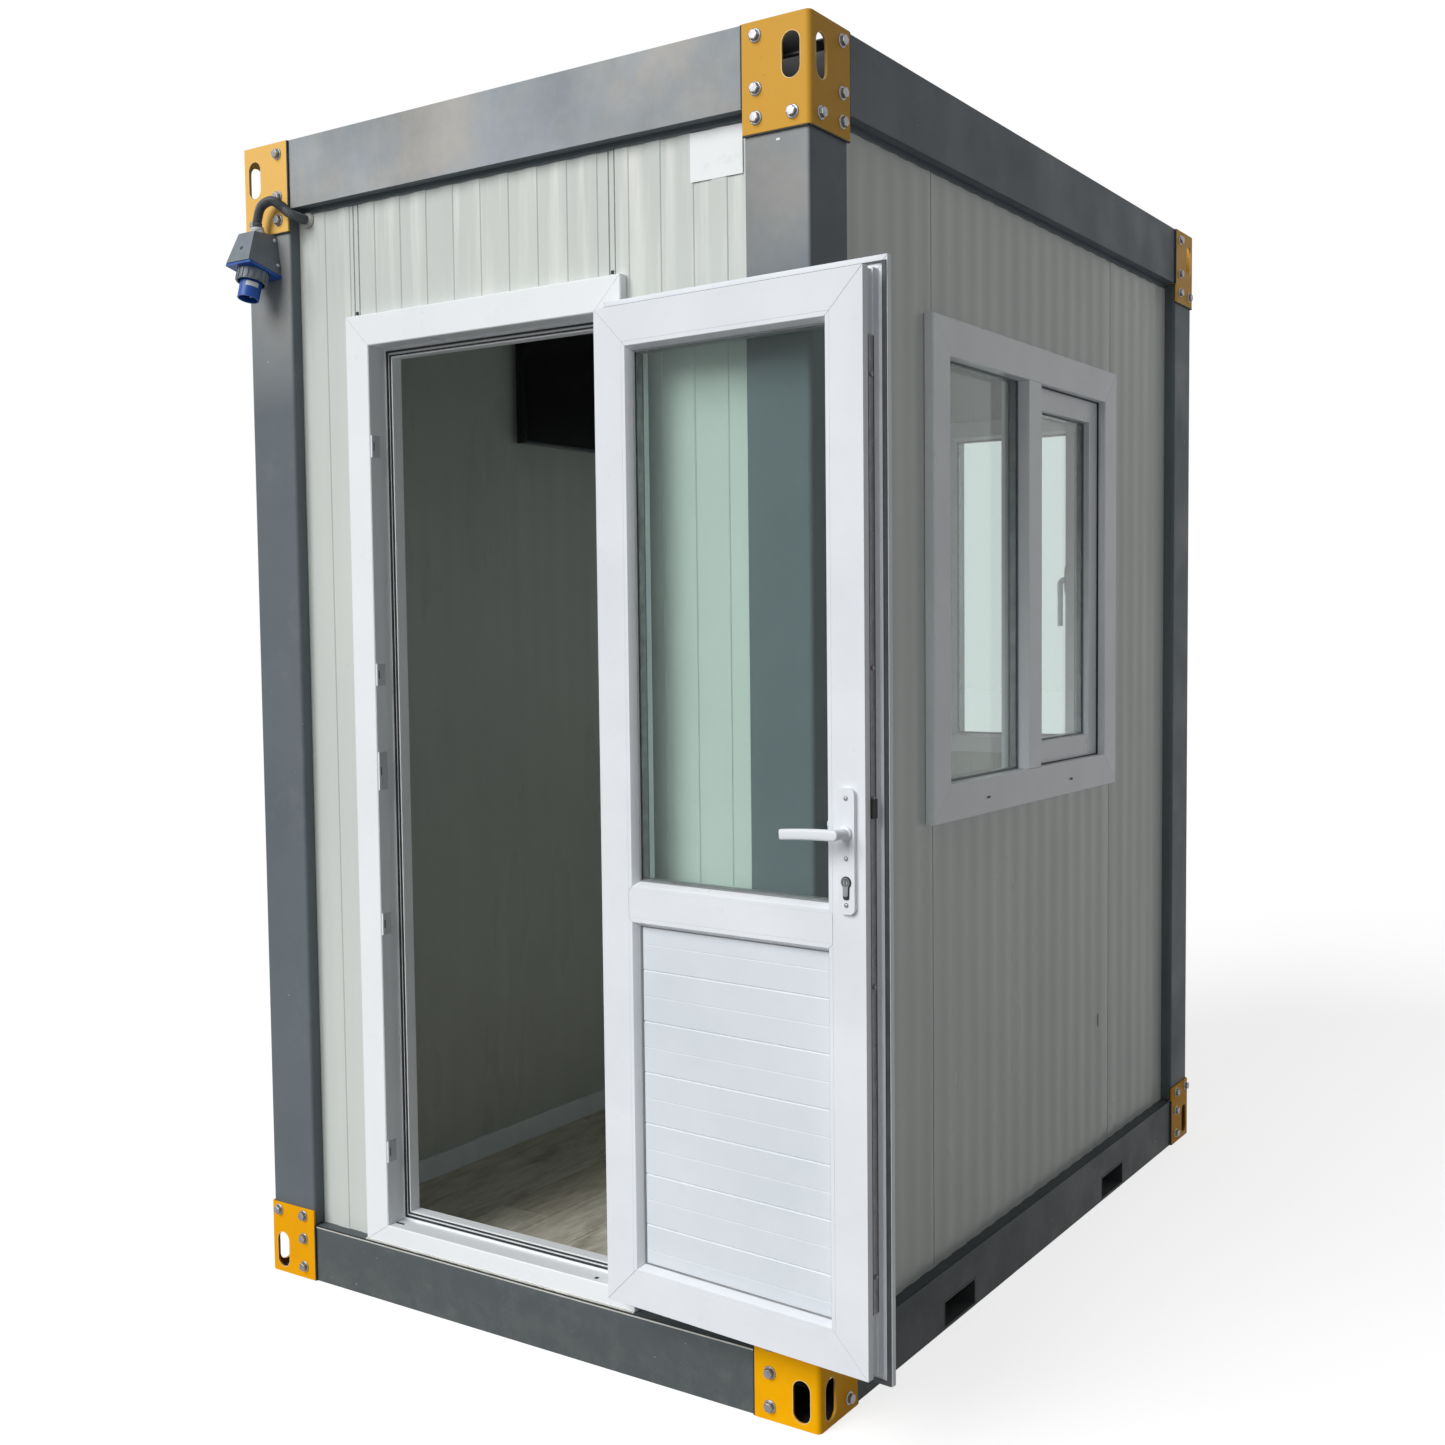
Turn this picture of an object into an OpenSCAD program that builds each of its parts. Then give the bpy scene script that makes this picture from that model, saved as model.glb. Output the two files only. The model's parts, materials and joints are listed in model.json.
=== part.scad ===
// Prefabricated guard booth: bolted steel frame, sandwich walls, a glazed door and two windows.
// Millimetres. Origin on the ground under the middle of the floor, front door towards -Y, +Z up.

/* [Booth] */
// Width over the corner brackets
booth_w = 1500; // [1400:10:2400]
// Depth over the corner brackets
booth_d = 2150; // [2000:10:3600]
// Height from the ground to the top of the brackets
booth_h = 2600; // [2500:10:3000]
// Height of the finished floor
floor_top = 102; // [90:1:110]

/* [Steel frame] */
// Side of the square corner posts
post_size = 140; // [120:2:160]
// Wall of the post tube
post_t = 4; // [2:0.5:6]
// Outer corner radius of the post tube
post_r = 8; // [7:0.5:12]
// Height of the top beams
beam_h = 150; // [130:5:200]
// Height of the floor sills
sill_h = 130; // [125:1:160]
// Depth of the beam and sill channels
channel_depth = 75; // [60:1:78]
// Sheet thickness of the channels
channel_t = 4; // [2:0.5:6]
// Height of the turned-in channel lips
lip_h = 20; // [10:1:26]
// Length of the bolting tab at each end of a channel
tab_len = 60; // [45:1:70]

/* [Corner brackets] */
// Plate thickness of the corner brackets
bracket_t = 5; // [3:0.5:8]
// Width of each bracket leaf
bracket_leaf = 145; // [130:1:145]
// Height of the top brackets
bracket_top_h = 200; // [180:1:260]
// Height of the bottom brackets
bracket_bottom_h = 165; // [150:1:220]
// Inner radius of the bracket bend
bend_r = 6; // [2:0.5:6.5]
// Width of the lifting slots
slot_w = 38; // [24:1:44]
// Length of the lifting slots
slot_len = 82; // [60:1:100]
// Slot centre line from the corner
slot_in = 40; // [36:1:46]
// Slot centre below the top of the booth
slot_drop = 73; // [56:1:90]
// Slot centre above the ground
slot_rise = 54; // [52:1:70]

/* [Floor] */
// Thickness of the floor deck
deck_t = 18; // [12:1:25]
// Width of the floor joists
joist_w = 50; // [30:1:60]
// Clear gap between a fork pocket and the joists beside it
joist_gap = 55; // [30:1:90]
// Clear gap between the end joists and the sills
joist_end_gap = 70; // [20:1:90]
// Height of the skirting
skirting_h = 57; // [40:1:100]
// Thickness of the skirting
skirting_t = 12; // [8:1:18]
// Distance of each fork pocket from the middle
fork_y = 463; // [420:1:480]
// Outer width of a fork pocket
fork_w = 155; // [100:1:180]
// Outer height of a fork pocket
fork_h = 60; // [50:1:70]
// Wall of a fork pocket
fork_t = 3; // [2:0.5:6]

/* [Walls and roof] */
// Thickness of the wall panels
wall_t = 50; // [45:1:60]
// Set-back of the wall face behind the post face
wall_recess = 28; // [22:1:32]
// Thickness of the roof panel
roof_t = 50; // [40:1:75]
// Gap between the roof panel and the beams
roof_gap = 6; // [2:1:12]
// Gap between the roof sheet and the beams
sheet_gap = 10; // [4:1:16]
// Rib height of the roof sheet
rib_h = 30; // [15:1:40]
// Rib spacing of the roof sheet
rib_pitch = 200; // [150:5:300]
// Width of a rib at its foot
rib_foot = 70; // [50:1:90]
// Width of a rib at its crest
rib_crest = 30; // [15:1:45]
// Thickness of the roof sheet
sheet_t = 2; // [1:0.5:3]

/* [Door and window frames] */
// How far the white frames stand proud of the wall
trim_proud = 21; // [12:1:26]
// How far the frames lap over the wall around the hole
trim_lap = 25; // [15:1:35]
// How far the frames stand proud inside
inner_proud = 7; // [2:1:12]
// Edge bevel of the frames
frame_bevel = 2; // [0.5:0.5:4]
// Thickness of the double glazing
glass_t = 24; // [18:1:28]
// Fitting gap around the glass
glass_gap = 3; // [1:0.5:5]
// Width of the glazing beads
bead_w = 16; // [12:1:20]
// Thin edge of the glazing beads against the glass
bead_edge = 5; // [3:1:8]

/* [Door] */
// Middle of the door from the middle of the booth
door_x = -66; // [-100:1:60]
// Width of the door frame
door_w = 757; // [700:1:800]
// Top of the door frame below the top of the booth
door_head = 407; // [350:1:550]
// Face width of the door frame
door_trim = 68; // [60:1:80]
// Depth of the rebate that takes the leaf
rebate_depth = 50; // [44:1:54]
// Width of the stop behind the leaf
stop_w = 22; // [15:1:26]
// Side gap between leaf and frame
leaf_side_gap = 6; // [5.5:0.5:10]
// Gap over and under the leaf
leaf_end_gap = 11; // [6:0.5:14]
// Gap between leaf and frame faces
seal_gap = 5; // [5:0.5:8]
// Lap of the leaf's flange over the frame
flange_lap = 12; // [5:0.5:16]
// Thickness of the leaf's flange
flange_t = 12; // [10:1:18]
// Face width of the leaf's stiles and rails
sash_face = 69; // [60:1:95]
// Thickness of the lip outside the glass
lip_t = 20; // [12:1:22]
// Underside of the middle rail above the ground
mid_rail_z = 951; // [700:1:1000]
// Face height of the middle rail
mid_rail_h = 53; // [45:1:130]
// Plank width of the lower panel
plank_pitch = 100; // [60:1:140]
// Width of the grooves between planks
plank_groove = 3; // [2:0.5:6]
// Depth of the grooves between planks
plank_groove_d = 1.5; // [0.5:0.5:3]
// Angle that the leaf stands open
door_open = 176; // [90:1:176]
// Gap between the fully turned leaf and the frame
swing_gap = 9; // [8:0.5:16]

/* [Door furniture] */
// Radius of the hinge knuckles
knuckle_r = 8; // [6:0.5:9]
// Length of each half of a hinge
knuckle_len = 45; // [30:1:70]
// Radius of the hinge pins
hinge_pin_r = 4; // [2.5:0.5:5]
// Thickness of the hinge plates
hinge_plate_t = 3; // [2:0.5:4]
// Width of the hinge plates
hinge_plate_w = 30; // [24:1:34]
// Middle of the end hinges from the ends of the leaf
hinge_end = 215; // [150:1:300]
// Spindle height above the ground
lever_z = 1149; // [1050:1:1200]
// Spindle from the free edge of the leaf
backset = 35; // [32:1:44]
// Width of the handle plates
plate_w = 34; // [30:1:44]
// Height of the handle plates
plate_h = 220; // [200:1:260]
// Corner radius of the handle plates
plate_r = 12; // [4:0.5:14]
// Thickness of the handle plates
plate_t = 8; // [5:0.5:10]
// Middle of the plates below the spindle
plate_drop = 31; // [20:1:40]
// Length of the lever from the spindle
lever_len = 112; // [90:1:114]
// Radius of the lever's neck
lever_r = 9; // [6:0.5:11]
// Height of the lever's grip
lever_h = 20; // [14:0.5:22]
// Radius of the rose at the foot of the lever
rose_r = 13; // [10:0.5:16]
// Thickness of the rose
rose_t = 5; // [2:0.5:8]
// Thickness of the lever's grip
lever_t = 13; // [10:0.5:16]
// Edge radius of the lever's grip
lever_edge = 4; // [2:0.5:4.5]
// How far the lever stands off the plate
lever_off = 42; // [38:1:46]
// Spindle radius
spindle_r = 4; // [3:0.5:5]
// Running gap at spindle and hinge pins
run_gap = 0.3; // [0.2:0.05:0.5]
// Lock cylinder below the spindle
cylinder_drop = 85; // [80:1:100]
// Radius of the lock cylinder
cylinder_r = 8; // [7:0.5:9]
// Width of the lock face strip
lock_w = 16; // [14:1:20]
// Thickness of the lock face strip
lock_t = 3; // [2:0.5:4]
// Ends of the lock face strip from the ends of the leaf
lock_end = 115; // [90:1:200]
// Radius of the locking rollers
roller_r = 4; // [3:0.5:5]
// How far rollers and latch stand out of the strip
roller_out = 3; // [2:0.5:3]
// End rollers from the ends of the lock face strip
roller_end = 66; // [40:1:200]
// Second roller above the lowest one
roller_step_low = 515; // [200:1:560]
// Second roller below the highest one
roller_step_top = 499; // [200:1:560]
// Latch above the spindle
latch_rise = 47; // [20:1:70]
// Rollers above their strike plates while the lock is open
roller_travel = 25; // [0:1:40]
// Length of a roller's strike plate
strike_h = 48; // [30:1:60]
// Length of the latch's strike plate
latch_strike_h = 84; // [60:1:120]
// Width of a strike plate
strike_w = 20; // [12:1:22]
// How deep a strike plate is let into the frame
strike_in = 2; // [1:0.5:4]
// How far a strike plate stands out of the frame
strike_out = 1; // [0.5:0.5:1]

/* [Windows] */
// Width of a window frame
win_w = 1060; // [900:1:1100]
// Height of a window frame
win_h = 1060; // [800:1:1150]
// Top of the window frames below the top of the booth
win_head = 453; // [380:1:600]
// Face width of the window frames
win_trim = 80; // [70:1:90]
// Width of the mullion
mullion_w = 70; // [60:1:90]
// Middle of the side window from the middle of the booth
side_win_y = -35; // [-60:1:60]
// Middle of the back window from the middle of the booth
back_win_x = 0; // [-30:1:30]
// Thickness of the frame lip outside the fixed glass
win_lip_t = 30; // [24:1:34]
// Set-back of the opening sash behind the frame face
sash_back = 22; // [14:1:26]
// Face width of the opening sash
win_sash_face = 55; // [45:1:60]
// Outside lip of the opening sash
win_sash_lip = 16; // [10:1:20]
// Fitting gap around the opening sash
sash_fit = 1; // [0.5:0.5:2]
// Lap of the sash over the frame inside
sash_lap = 8; // [5:1:10]
// Thickness of that lap
sash_lap_t = 14; // [10:1:18]
// Length of the window handles
win_handle_len = 120; // [90:1:140]
// How far the window handles stand off
win_handle_off = 34; // [26:1:40]
// Radius of the window handles
win_handle_r = 8; // [6:0.5:10]
// Bend radius of the window handles
win_handle_bend = 14; // [11:1:16]
// Width of the window handle plates
win_plate_w = 30; // [24:1:36]
// Height of the window handle plates
win_plate_h = 70; // [50:1:90]
// Thickness of the window handle plates
win_plate_t = 8; // [5:0.5:10]

/* [Power inlet and screen] */
// Width of the inlet housing at its foot
inlet_w = 74; // [60:1:90]
// Width of the inlet housing at its top
inlet_top_w = 52; // [40:1:58]
// Depth of the inlet housing at its foot
inlet_d = 91; // [80:1:100]
// Depth of the inlet housing at its top
inlet_top_d = 63; // [50:1:75]
// Height of the inlet housing at the post
inlet_h = 92; // [80:1:120]
// Gap between the housing and the top bracket
inlet_drop = 4; // [1:1:40]
// Downward tilt of the plug
inlet_tilt = 15; // [5:1:25]
// Thickness of the flange plate under the housing
inlet_plate_t = 6; // [4:0.5:10]
// How far the flange plate stands out beside the housing
inlet_plate_lap = 3; // [0:0.5:6]
// Gap between the flange plate and the post
inlet_post_gap = 2; // [1:0.5:6]
// Radius of the conduit gland
gland_r = 14; // [12:0.5:18]
// Height of the conduit gland
gland_h = 16; // [10:1:24]
// Radius of the plug collar
collar_r = 34; // [30:1:36]
// Length of the plug collar
collar_len = 26; // [18:1:30]
// Wall of the plug collar
collar_t = 4; // [2:0.5:6]
// Radius of the plug sleeve
sleeve_r = 24; // [20:1:26]
// Length of the plug sleeve
sleeve_len = 70; // [60:1:80]
// Wall of the plug sleeve
sleeve_t = 3; // [2:0.5:5]
// Thickness of the floor that carries the pins
sleeve_floor = 14; // [8:1:20]
// Radius of the pins
pin_r = 2.5; // [2:0.5:4]
// How far the pins stop short of the sleeve's end
pin_short = 10; // [4:1:20]
// Outer radius of the corrugated conduit
conduit_r = 11; // [7:0.5:12]
// Screen width on the left wall
screen_w = 710; // [500:1:900]
// Screen height
screen_h = 405; // [300:1:420]
// Screen thickness
screen_t = 34; // [20:1:50]
// Top of the screen below the beams
screen_drop = 42; // [20:1:500]
// Near end of the screen from the middle of the booth
screen_y = -255; // [-500:1:0]
// Stand-off of the screen from the wall
screen_off = 14; // [8:1:40]
// Side of the plate that holds the screen
screen_plate = 200; // [100:1:280]

/* [Hidden] */
$fn = 48;

// Colours
steel_grey = [0.36, 0.38, 0.39];
panel_white = [0.82, 0.84, 0.81];
frame_white = [0.92, 0.93, 0.95];
bracket_yellow = [0.91, 0.64, 0.08];
zinc = [0.72, 0.73, 0.74];
glass_green = [0.62, 0.74, 0.72, 0.45];
oak = [0.66, 0.62, 0.55];
dark_grey = [0.22, 0.25, 0.27];
plug_blue = [0.06, 0.28, 0.72];
black = [0.05, 0.05, 0.06];

// A little more than a face, so that a cut runs through it
cut = 1;

// Plan of the steel frame
post_out_x = booth_w/2 - bracket_t;
post_out_y = booth_d/2 - bracket_t;
post_in_x = post_out_x - post_size;
post_in_y = post_out_y - post_size;
beam_z = booth_h - beam_h;
roof_z = beam_z + lip_h;

// Wall faces
wall_out_x = post_out_x - wall_recess;
wall_out_y = post_out_y - wall_recess;
wall_in_x = wall_out_x - wall_t;
wall_in_y = wall_out_y - wall_t;

// Joists beside the fork pockets and at both ends, from the middle outwards
joist_beside = fork_w/2 + joist_gap + joist_w/2;
joist_last = post_out_y - channel_depth - joist_end_gap - joist_w/2;
joist_places = [0, fork_y - joist_beside, fork_y + joist_beside, joist_last];

// White frames, front to back
frame_depth = trim_proud + wall_t + inner_proud;
frame_front = -wall_out_y - trim_proud;

// Door rebate and rough hole
door_top = booth_h - door_head;
door_x0 = door_x - door_w/2;
door_x1 = door_x + door_w/2;
hole_x0 = door_x0 + trim_lap;
hole_x1 = door_x1 - trim_lap;
hole_top = door_top - trim_lap;
rebate_x0 = door_x0 + door_trim;
rebate_x1 = door_x1 - door_trim;
rebate_z0 = sill_h - trim_lap + door_trim;
rebate_z1 = door_top - door_trim;

// Leaf in the closed place
leaf_x0 = rebate_x0 + leaf_side_gap;
leaf_x1 = rebate_x1 - leaf_side_gap;
leaf_z0 = rebate_z0 + leaf_end_gap;
leaf_z1 = rebate_z1 - leaf_end_gap;
leaf_in_y = frame_front + rebate_depth - seal_gap;
leaf_out_y = frame_front - seal_gap - flange_t;
leaf_depth = leaf_in_y - leaf_out_y;
bead_depth = leaf_depth - lip_t - glass_t;
glass_out_y = leaf_out_y + lip_t;
glass_in_y = glass_out_y + glass_t;

// Glazed fields of the leaf, as [bottom, top]
lower_field = [leaf_z0 + sash_face, mid_rail_z];
upper_field = [mid_rail_z + mid_rail_h, leaf_z1 - sash_face];
field_x0 = leaf_x0 + sash_face;
field_x1 = leaf_x1 - sash_face;

// Lock face strip in the free edge, and the places of its rollers
lock_y = (leaf_in_y + leaf_out_y + flange_t)/2;
lock_z0 = leaf_z0 + lock_end;
lock_z1 = leaf_z1 - lock_end;
roller_low = lock_z0 + roller_end;
roller_top = lock_z1 - roller_end;
roller_places = [roller_low, roller_low + roller_step_low, roller_top - roller_step_top, roller_top];
latch_z = lever_z + latch_rise;

// Heights of the three hinges
hinge_places = [leaf_z0 + hinge_end, (leaf_z0 + leaf_z1)/2, leaf_z1 - hinge_end];

// Hinge line and spindle, with the leaf closed
hinge_x = rebate_x1 + flange_lap + 2*knuckle_r;
hinge_y = frame_front - (swing_gap + seal_gap + flange_t)/2;
spindle_x = leaf_x0 + backset;

// The open leaf ends at its stop, or earlier where its outer lever would meet the post
lever_tip = hinge_x - spindle_x - lever_len;
lever_out = hinge_y - leaf_out_y + plate_t + run_gap + lever_off;
post_front = -post_out_y - hinge_y;
post_stop = 180 - asin((lever_out - post_front + swing_gap)/lever_tip);
passes_post = lever_tip*cos(door_open) < hinge_x - post_out_x;
leaf_turn = passes_post ? door_open : min(door_open, post_stop);

// Windows: rough holes, and depths behind the frame face
win_z = booth_h - win_head - win_h;
win_hole_w = win_w - 2*trim_lap;
win_hole_z0 = win_z + trim_lap;
win_hole_z1 = win_z + win_h - trim_lap;
light_w = (win_w - 2*win_trim - mullion_w)/2;
light_h = win_h - 2*win_trim;
light_x = (mullion_w + light_w)/2;
win_mid_z = win_z + win_h/2;
sash_in = frame_depth + sash_lap_t;
sash_glass_w = light_w - 2*sash_fit - 2*win_sash_face;
sash_glass_h = light_h - 2*sash_fit - 2*win_sash_face;

// Inlet: foot of the housing at the post face
inlet_x = -post_out_x + post_size/2;
inlet_z = booth_h - bracket_top_h - inlet_drop - inlet_h;
gland_y = -inlet_top_d/2;

// Conduit: from the gland over the bracket edge to the wall beside the post
conduit_gap = 6;
conduit_straight = 6;
conduit_bend = 14;
conduit_reach = 3*conduit_bend;
conduit_front = -post_out_y - bracket_t - conduit_r - conduit_gap;
conduit_end_x = -post_in_x + 2*conduit_bend;
gland_top = inlet_z + inlet_h + gland_h;
conduit_end_z = beam_z - 4*conduit_straight;
conduit_route = [
    [inlet_x, -post_out_y + gland_y, gland_top],
    [inlet_x, -post_out_y + gland_y, gland_top + conduit_straight],
    [inlet_x, -post_out_y + gland_y, gland_top + conduit_bend],
    [inlet_x + conduit_bend, -post_out_y + gland_y, beam_z + conduit_straight],
    [inlet_x + conduit_reach, (gland_y - post_out_y + conduit_front)/2, beam_z + conduit_bend + 2],
    [-post_in_x - 2, conduit_front, beam_z + 2],
    [conduit_end_x - conduit_straight, conduit_front + conduit_straight, beam_z - conduit_bend - 4],
    [conduit_end_x, -wall_out_y - 2*conduit_straight, conduit_end_z],
    [conduit_end_x, -wall_out_y - conduit_straight, conduit_end_z],
    [conduit_end_x, -wall_out_y, conduit_end_z]
];
conduit_steps = 4;
conduit_sides = 10;

// A box from its lowest to its highest corner
module box(low, high) {
    translate(low) cube(high - low);
}

// A rectangle with round corners, about the middle
module rounded_rectangle(w, h, r) {
    square([w, h - 2*r], center = true);
    square([w - 2*r, h], center = true);
    for (sx = [-1, 1], sy = [-1, 1]) translate([sx*(w/2 - r), sy*(h/2 - r)]) circle(r);
}

// Section of a channel: web at x = 0, flanges and lips towards +x
module channel_section(depth, height, lip) {
    difference() {
        square([depth, height]);
        translate([channel_t, channel_t]) square([depth, height - 2*channel_t]);
    }
    for (y = [0, height - lip]) translate([depth - channel_t, y]) square([channel_t, lip]);
}

// A channel along X with its web on y = 0 and bolting tabs at both ends
module frame_channel(length, height) {
    rotate([90, 0, 90]) linear_extrude(length, center = true)
        channel_section(channel_depth, height, lip_h);
    for (s = [-1, 1]) translate([s*(length + tab_len)/2 - tab_len/2, 0, 0])
        cube([tab_len, channel_t, height]);
}

// Children drawn for the front, turned to one of the four sides of the frame
module on_side(side) {
    if (side == "front") translate([0, -post_out_y, 0]) children();
    if (side == "back") translate([0, post_out_y, 0]) rotate([0, 0, 180]) children();
    if (side == "left") translate([-post_out_x, 0, 0]) rotate([0, 0, -90]) children();
    if (side == "right") translate([post_out_x, 0, 0]) rotate([0, 0, 90]) children();
}

// Space that the two fork pockets take up
module fork_blocks() {
    for (s = [-1, 1]) translate([-post_out_x - cut, s*fork_y - fork_w/2, channel_t])
        cube([2*(post_out_x + cut), fork_w, fork_h]);
}

module side_sill(side) {
    color(steel_grey) difference() {
        on_side(side) frame_channel(2*post_in_y, sill_h);
        fork_blocks();
    }
}

module end_sill(side) {
    color(steel_grey) on_side(side) frame_channel(2*post_in_x, sill_h);
}

module top_beam(side, length) {
    color(steel_grey) translate([0, 0, beam_z]) on_side(side) frame_channel(length, beam_h);
}

module fork_pockets() {
    color(steel_grey) for (s = [-1, 1]) translate([0, s*fork_y, channel_t + fork_h/2]) difference() {
        cube([2*post_out_x, fork_w, fork_h], center = true);
        cube([2*post_out_x + 2*cut, fork_w - 2*fork_t, fork_h - 2*fork_t], center = true);
    }
}

module floor_joists() {
    color(steel_grey) for (place = joist_places, s = (place == 0) ? [1] : [-1, 1])
        translate([0, s*place - joist_w/2, 0]) rotate([90, 0, 90])
            linear_extrude(2*(post_out_x - channel_depth), center = true)
                channel_section(joist_w, floor_top - deck_t, channel_t);
}

module floor_deck() {
    color(oak) box([-wall_in_x, -wall_in_y, floor_top - deck_t], [wall_in_x, wall_in_y, floor_top]);
}

// Inside outline of the room around the posts, drawn in by k
function room_outline(k) =
    let (wx = wall_in_x - k, wy = wall_in_y - k, px = post_in_x - k, py = post_in_y - k)
    [[px, -wy], [px, -py], [wx, -py], [wx, py], [px, py], [px, wy],
     [-px, wy], [-px, py], [-wx, py], [-wx, -py], [-px, -py], [-px, -wy]];

module skirting() {
    color(panel_white) difference() {
        translate([0, 0, floor_top]) linear_extrude(skirting_h) difference() {
            polygon(room_outline(0));
            polygon(room_outline(skirting_t));
        }
        box([hole_x0, -wall_in_y - cut, 0], [hole_x1, -wall_in_y + 2*skirting_t, booth_h]);
    }
}

module corner_post(sx, sy) {
    color(steel_grey) translate([sx*(post_out_x - post_size/2), sy*(post_out_y - post_size/2), sill_h])
        linear_extrude(beam_z - sill_h) difference() {
            rounded_rectangle(post_size, post_size, post_r);
            rounded_rectangle(post_size - 2*post_t, post_size - 2*post_t, post_r - post_t);
        }
}

// Bent plate of a corner bracket, with its outer corner at the origin
module bracket_section() {
    r = bend_r + bracket_t;
    translate([r, 0]) square([bracket_leaf - r, bracket_t]);
    translate([0, r]) square([bracket_t, bracket_leaf - r]);
    translate([r, r]) intersection() {
        difference() {
            circle(r);
            circle(bend_r);
        }
        translate([-r, -r]) square(r);
    }
}

// A slot along Z through a leaf that lies on y = 0
module lifting_slot() {
    straight = slot_len - slot_w;
    for (s = [-1, 1]) translate([0, -cut, s*straight/2]) rotate([-90, 0, 0])
        cylinder(r = slot_w/2, h = bracket_t + 2*cut);
    translate([-slot_w/2, -cut, -straight/2]) cube([slot_w, bracket_t + 2*cut, straight]);
}

module corner_bracket(height, slot_z) {
    difference() {
        linear_extrude(height) bracket_section();
        translate([slot_in, 0, slot_z]) lifting_slot();
        mirror([1, -1, 0]) translate([slot_in, 0, slot_z]) lifting_slot();
    }
}

// Top and bottom bracket of one corner
module corner_brackets(sx, sy) {
    color(bracket_yellow) translate([sx*booth_w/2, sy*booth_d/2, 0])
        mirror([sx > 0 ? 1 : 0, 0, 0]) mirror([0, sy > 0 ? 1 : 0, 0]) {
            corner_bracket(bracket_bottom_h, slot_rise);
            translate([0, 0, booth_h - bracket_top_h])
                corner_bracket(bracket_top_h, bracket_top_h - slot_drop);
        }
}

// Plan of the roof inside the beams, clear of the four hollow corners
module roof_plan(gap) {
    x = post_out_x - channel_t - gap;
    y = post_out_y - channel_t - gap;
    square([2*x, 2*(post_in_y - gap)], center = true);
    square([2*(post_in_x - gap), 2*y], center = true);
}

module roof_panel() {
    color(panel_white) translate([0, 0, roof_z]) linear_extrude(roof_t) roof_plan(roof_gap);
}

// One rib of the roof sheet, and the sheet's line over a width w
rib = [[-rib_foot/2, 0], [-rib_crest/2, rib_h], [rib_crest/2, rib_h], [rib_foot/2, 0]];
function rib_line(w) =
    let (n = floor((w/2 - rib_foot)/rib_pitch))
    concat([[-w/2, 0]], [for (i = [-n:n], p = rib) [i*rib_pitch, 0] + p], [[w/2, 0]]);

module roof_sheet() {
    line = rib_line(2*(post_out_x - channel_t - sheet_gap));
    under = [for (i = [len(line) - 1:-1:0]) line[i]];
    over = [for (p = line) p + [0, sheet_t]];
    color(zinc) translate([0, 0, roof_z + roof_t]) intersection() {
        rotate([90, 0, 0]) linear_extrude(booth_d, center = true) polygon(concat(over, under));
        linear_extrude(rib_h + 2*sheet_t) roof_plan(sheet_gap);
    }
}

// A wall slab on the front, back, right or left, between two places and two heights
module wall_slab(side, a, b, z0, z1) {
    color(panel_white) {
        if (side == "front") box([a, -wall_out_y, z0], [b, -wall_in_y, z1]);
        if (side == "back") box([a, wall_in_y, z0], [b, wall_out_y, z1]);
        if (side == "right") box([wall_in_x, a, z0], [wall_out_x, b, z1]);
        if (side == "left") box([-wall_out_x, a, z0], [-wall_in_x, b, z1]);
    }
}

module window_bay(side, middle) {
    a = middle - win_hole_w/2;
    b = middle + win_hole_w/2;
    wall_slab(side, a, b, sill_h, win_hole_z0);
    wall_slab(side, a, b, win_hole_z1, beam_z);
}

// A frame of four mitred bars around a w by h field, in XZ, with the field's middle at the origin.
// The profile's x runs from the outer edge inwards, and its y is the depth along +Y.
module mitred_frame(w, h, profile, width) {
    module bar(length, across) {
        intersection() {
            translate([-length/2, 0, -across/2]) rotate([90, 0, 90]) linear_extrude(length)
                polygon([for (p = profile) [p[1], p[0]]]);
            rotate([90, 0, 0]) linear_extrude(4*frame_depth, center = true)
                polygon([[-length/2, -across/2], [length/2, -across/2],
                         [length/2 - width, -across/2 + width], [-length/2 + width, -across/2 + width]]);
        }
    }
    bar(w, h);
    rotate([0, 180, 0]) bar(w, h);
    rotate([0, 90, 0]) bar(h, w);
    rotate([0, -90, 0]) bar(h, w);
}

// Profile of the door frame, from its outer edge inwards
door_profile = [
    [frame_bevel, 0], [door_trim - frame_bevel, 0], [door_trim, frame_bevel], [door_trim, rebate_depth],
    [door_trim + stop_w, rebate_depth], [door_trim + stop_w, frame_depth], [trim_lap, frame_depth],
    [trim_lap, trim_proud], [0, trim_proud], [0, frame_bevel]
];

module door_frame() {
    z0 = sill_h - trim_lap;
    color(frame_white) difference() {
        translate([door_x, frame_front, (z0 + door_top)/2])
            mitred_frame(door_w, door_top - z0, door_profile, door_trim + stop_w);
        box([door_x0 - cut, frame_front - cut, z0 - cut], [door_x1 + cut, 0, sill_h]);
        strike_blocks(cut);
    }
}

// A strike plate let into the left jamb from the front edge of the rebate
module strike_block(z, height, out) {
    box([rebate_x0 - strike_in, frame_front + frame_bevel, z - height/2],
        [rebate_x0 + out, lock_y + strike_w/2, z + height/2]);
}

// One strike plate for each roller and one for the latch
module strike_blocks(out) {
    for (z = roller_places) strike_block(z - roller_travel, strike_h, out);
    strike_block(latch_z, latch_strike_h, out);
}

module strike_plates() {
    color(zinc) strike_blocks(strike_out);
}

// Children drawn on the closed leaf, swung open about the hinge line
module on_leaf() {
    translate([hinge_x, hinge_y, 0]) rotate([0, 0, leaf_turn]) translate([-hinge_x, -hinge_y, 0])
        children();
}

// A block across the leaf, larger than the field by grow on each side
module field_block(field, grow, y0, y1) {
    box([field_x0 - grow, y0, field[0] - grow], [field_x1 + grow, y1, field[1] + grow]);
}

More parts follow.
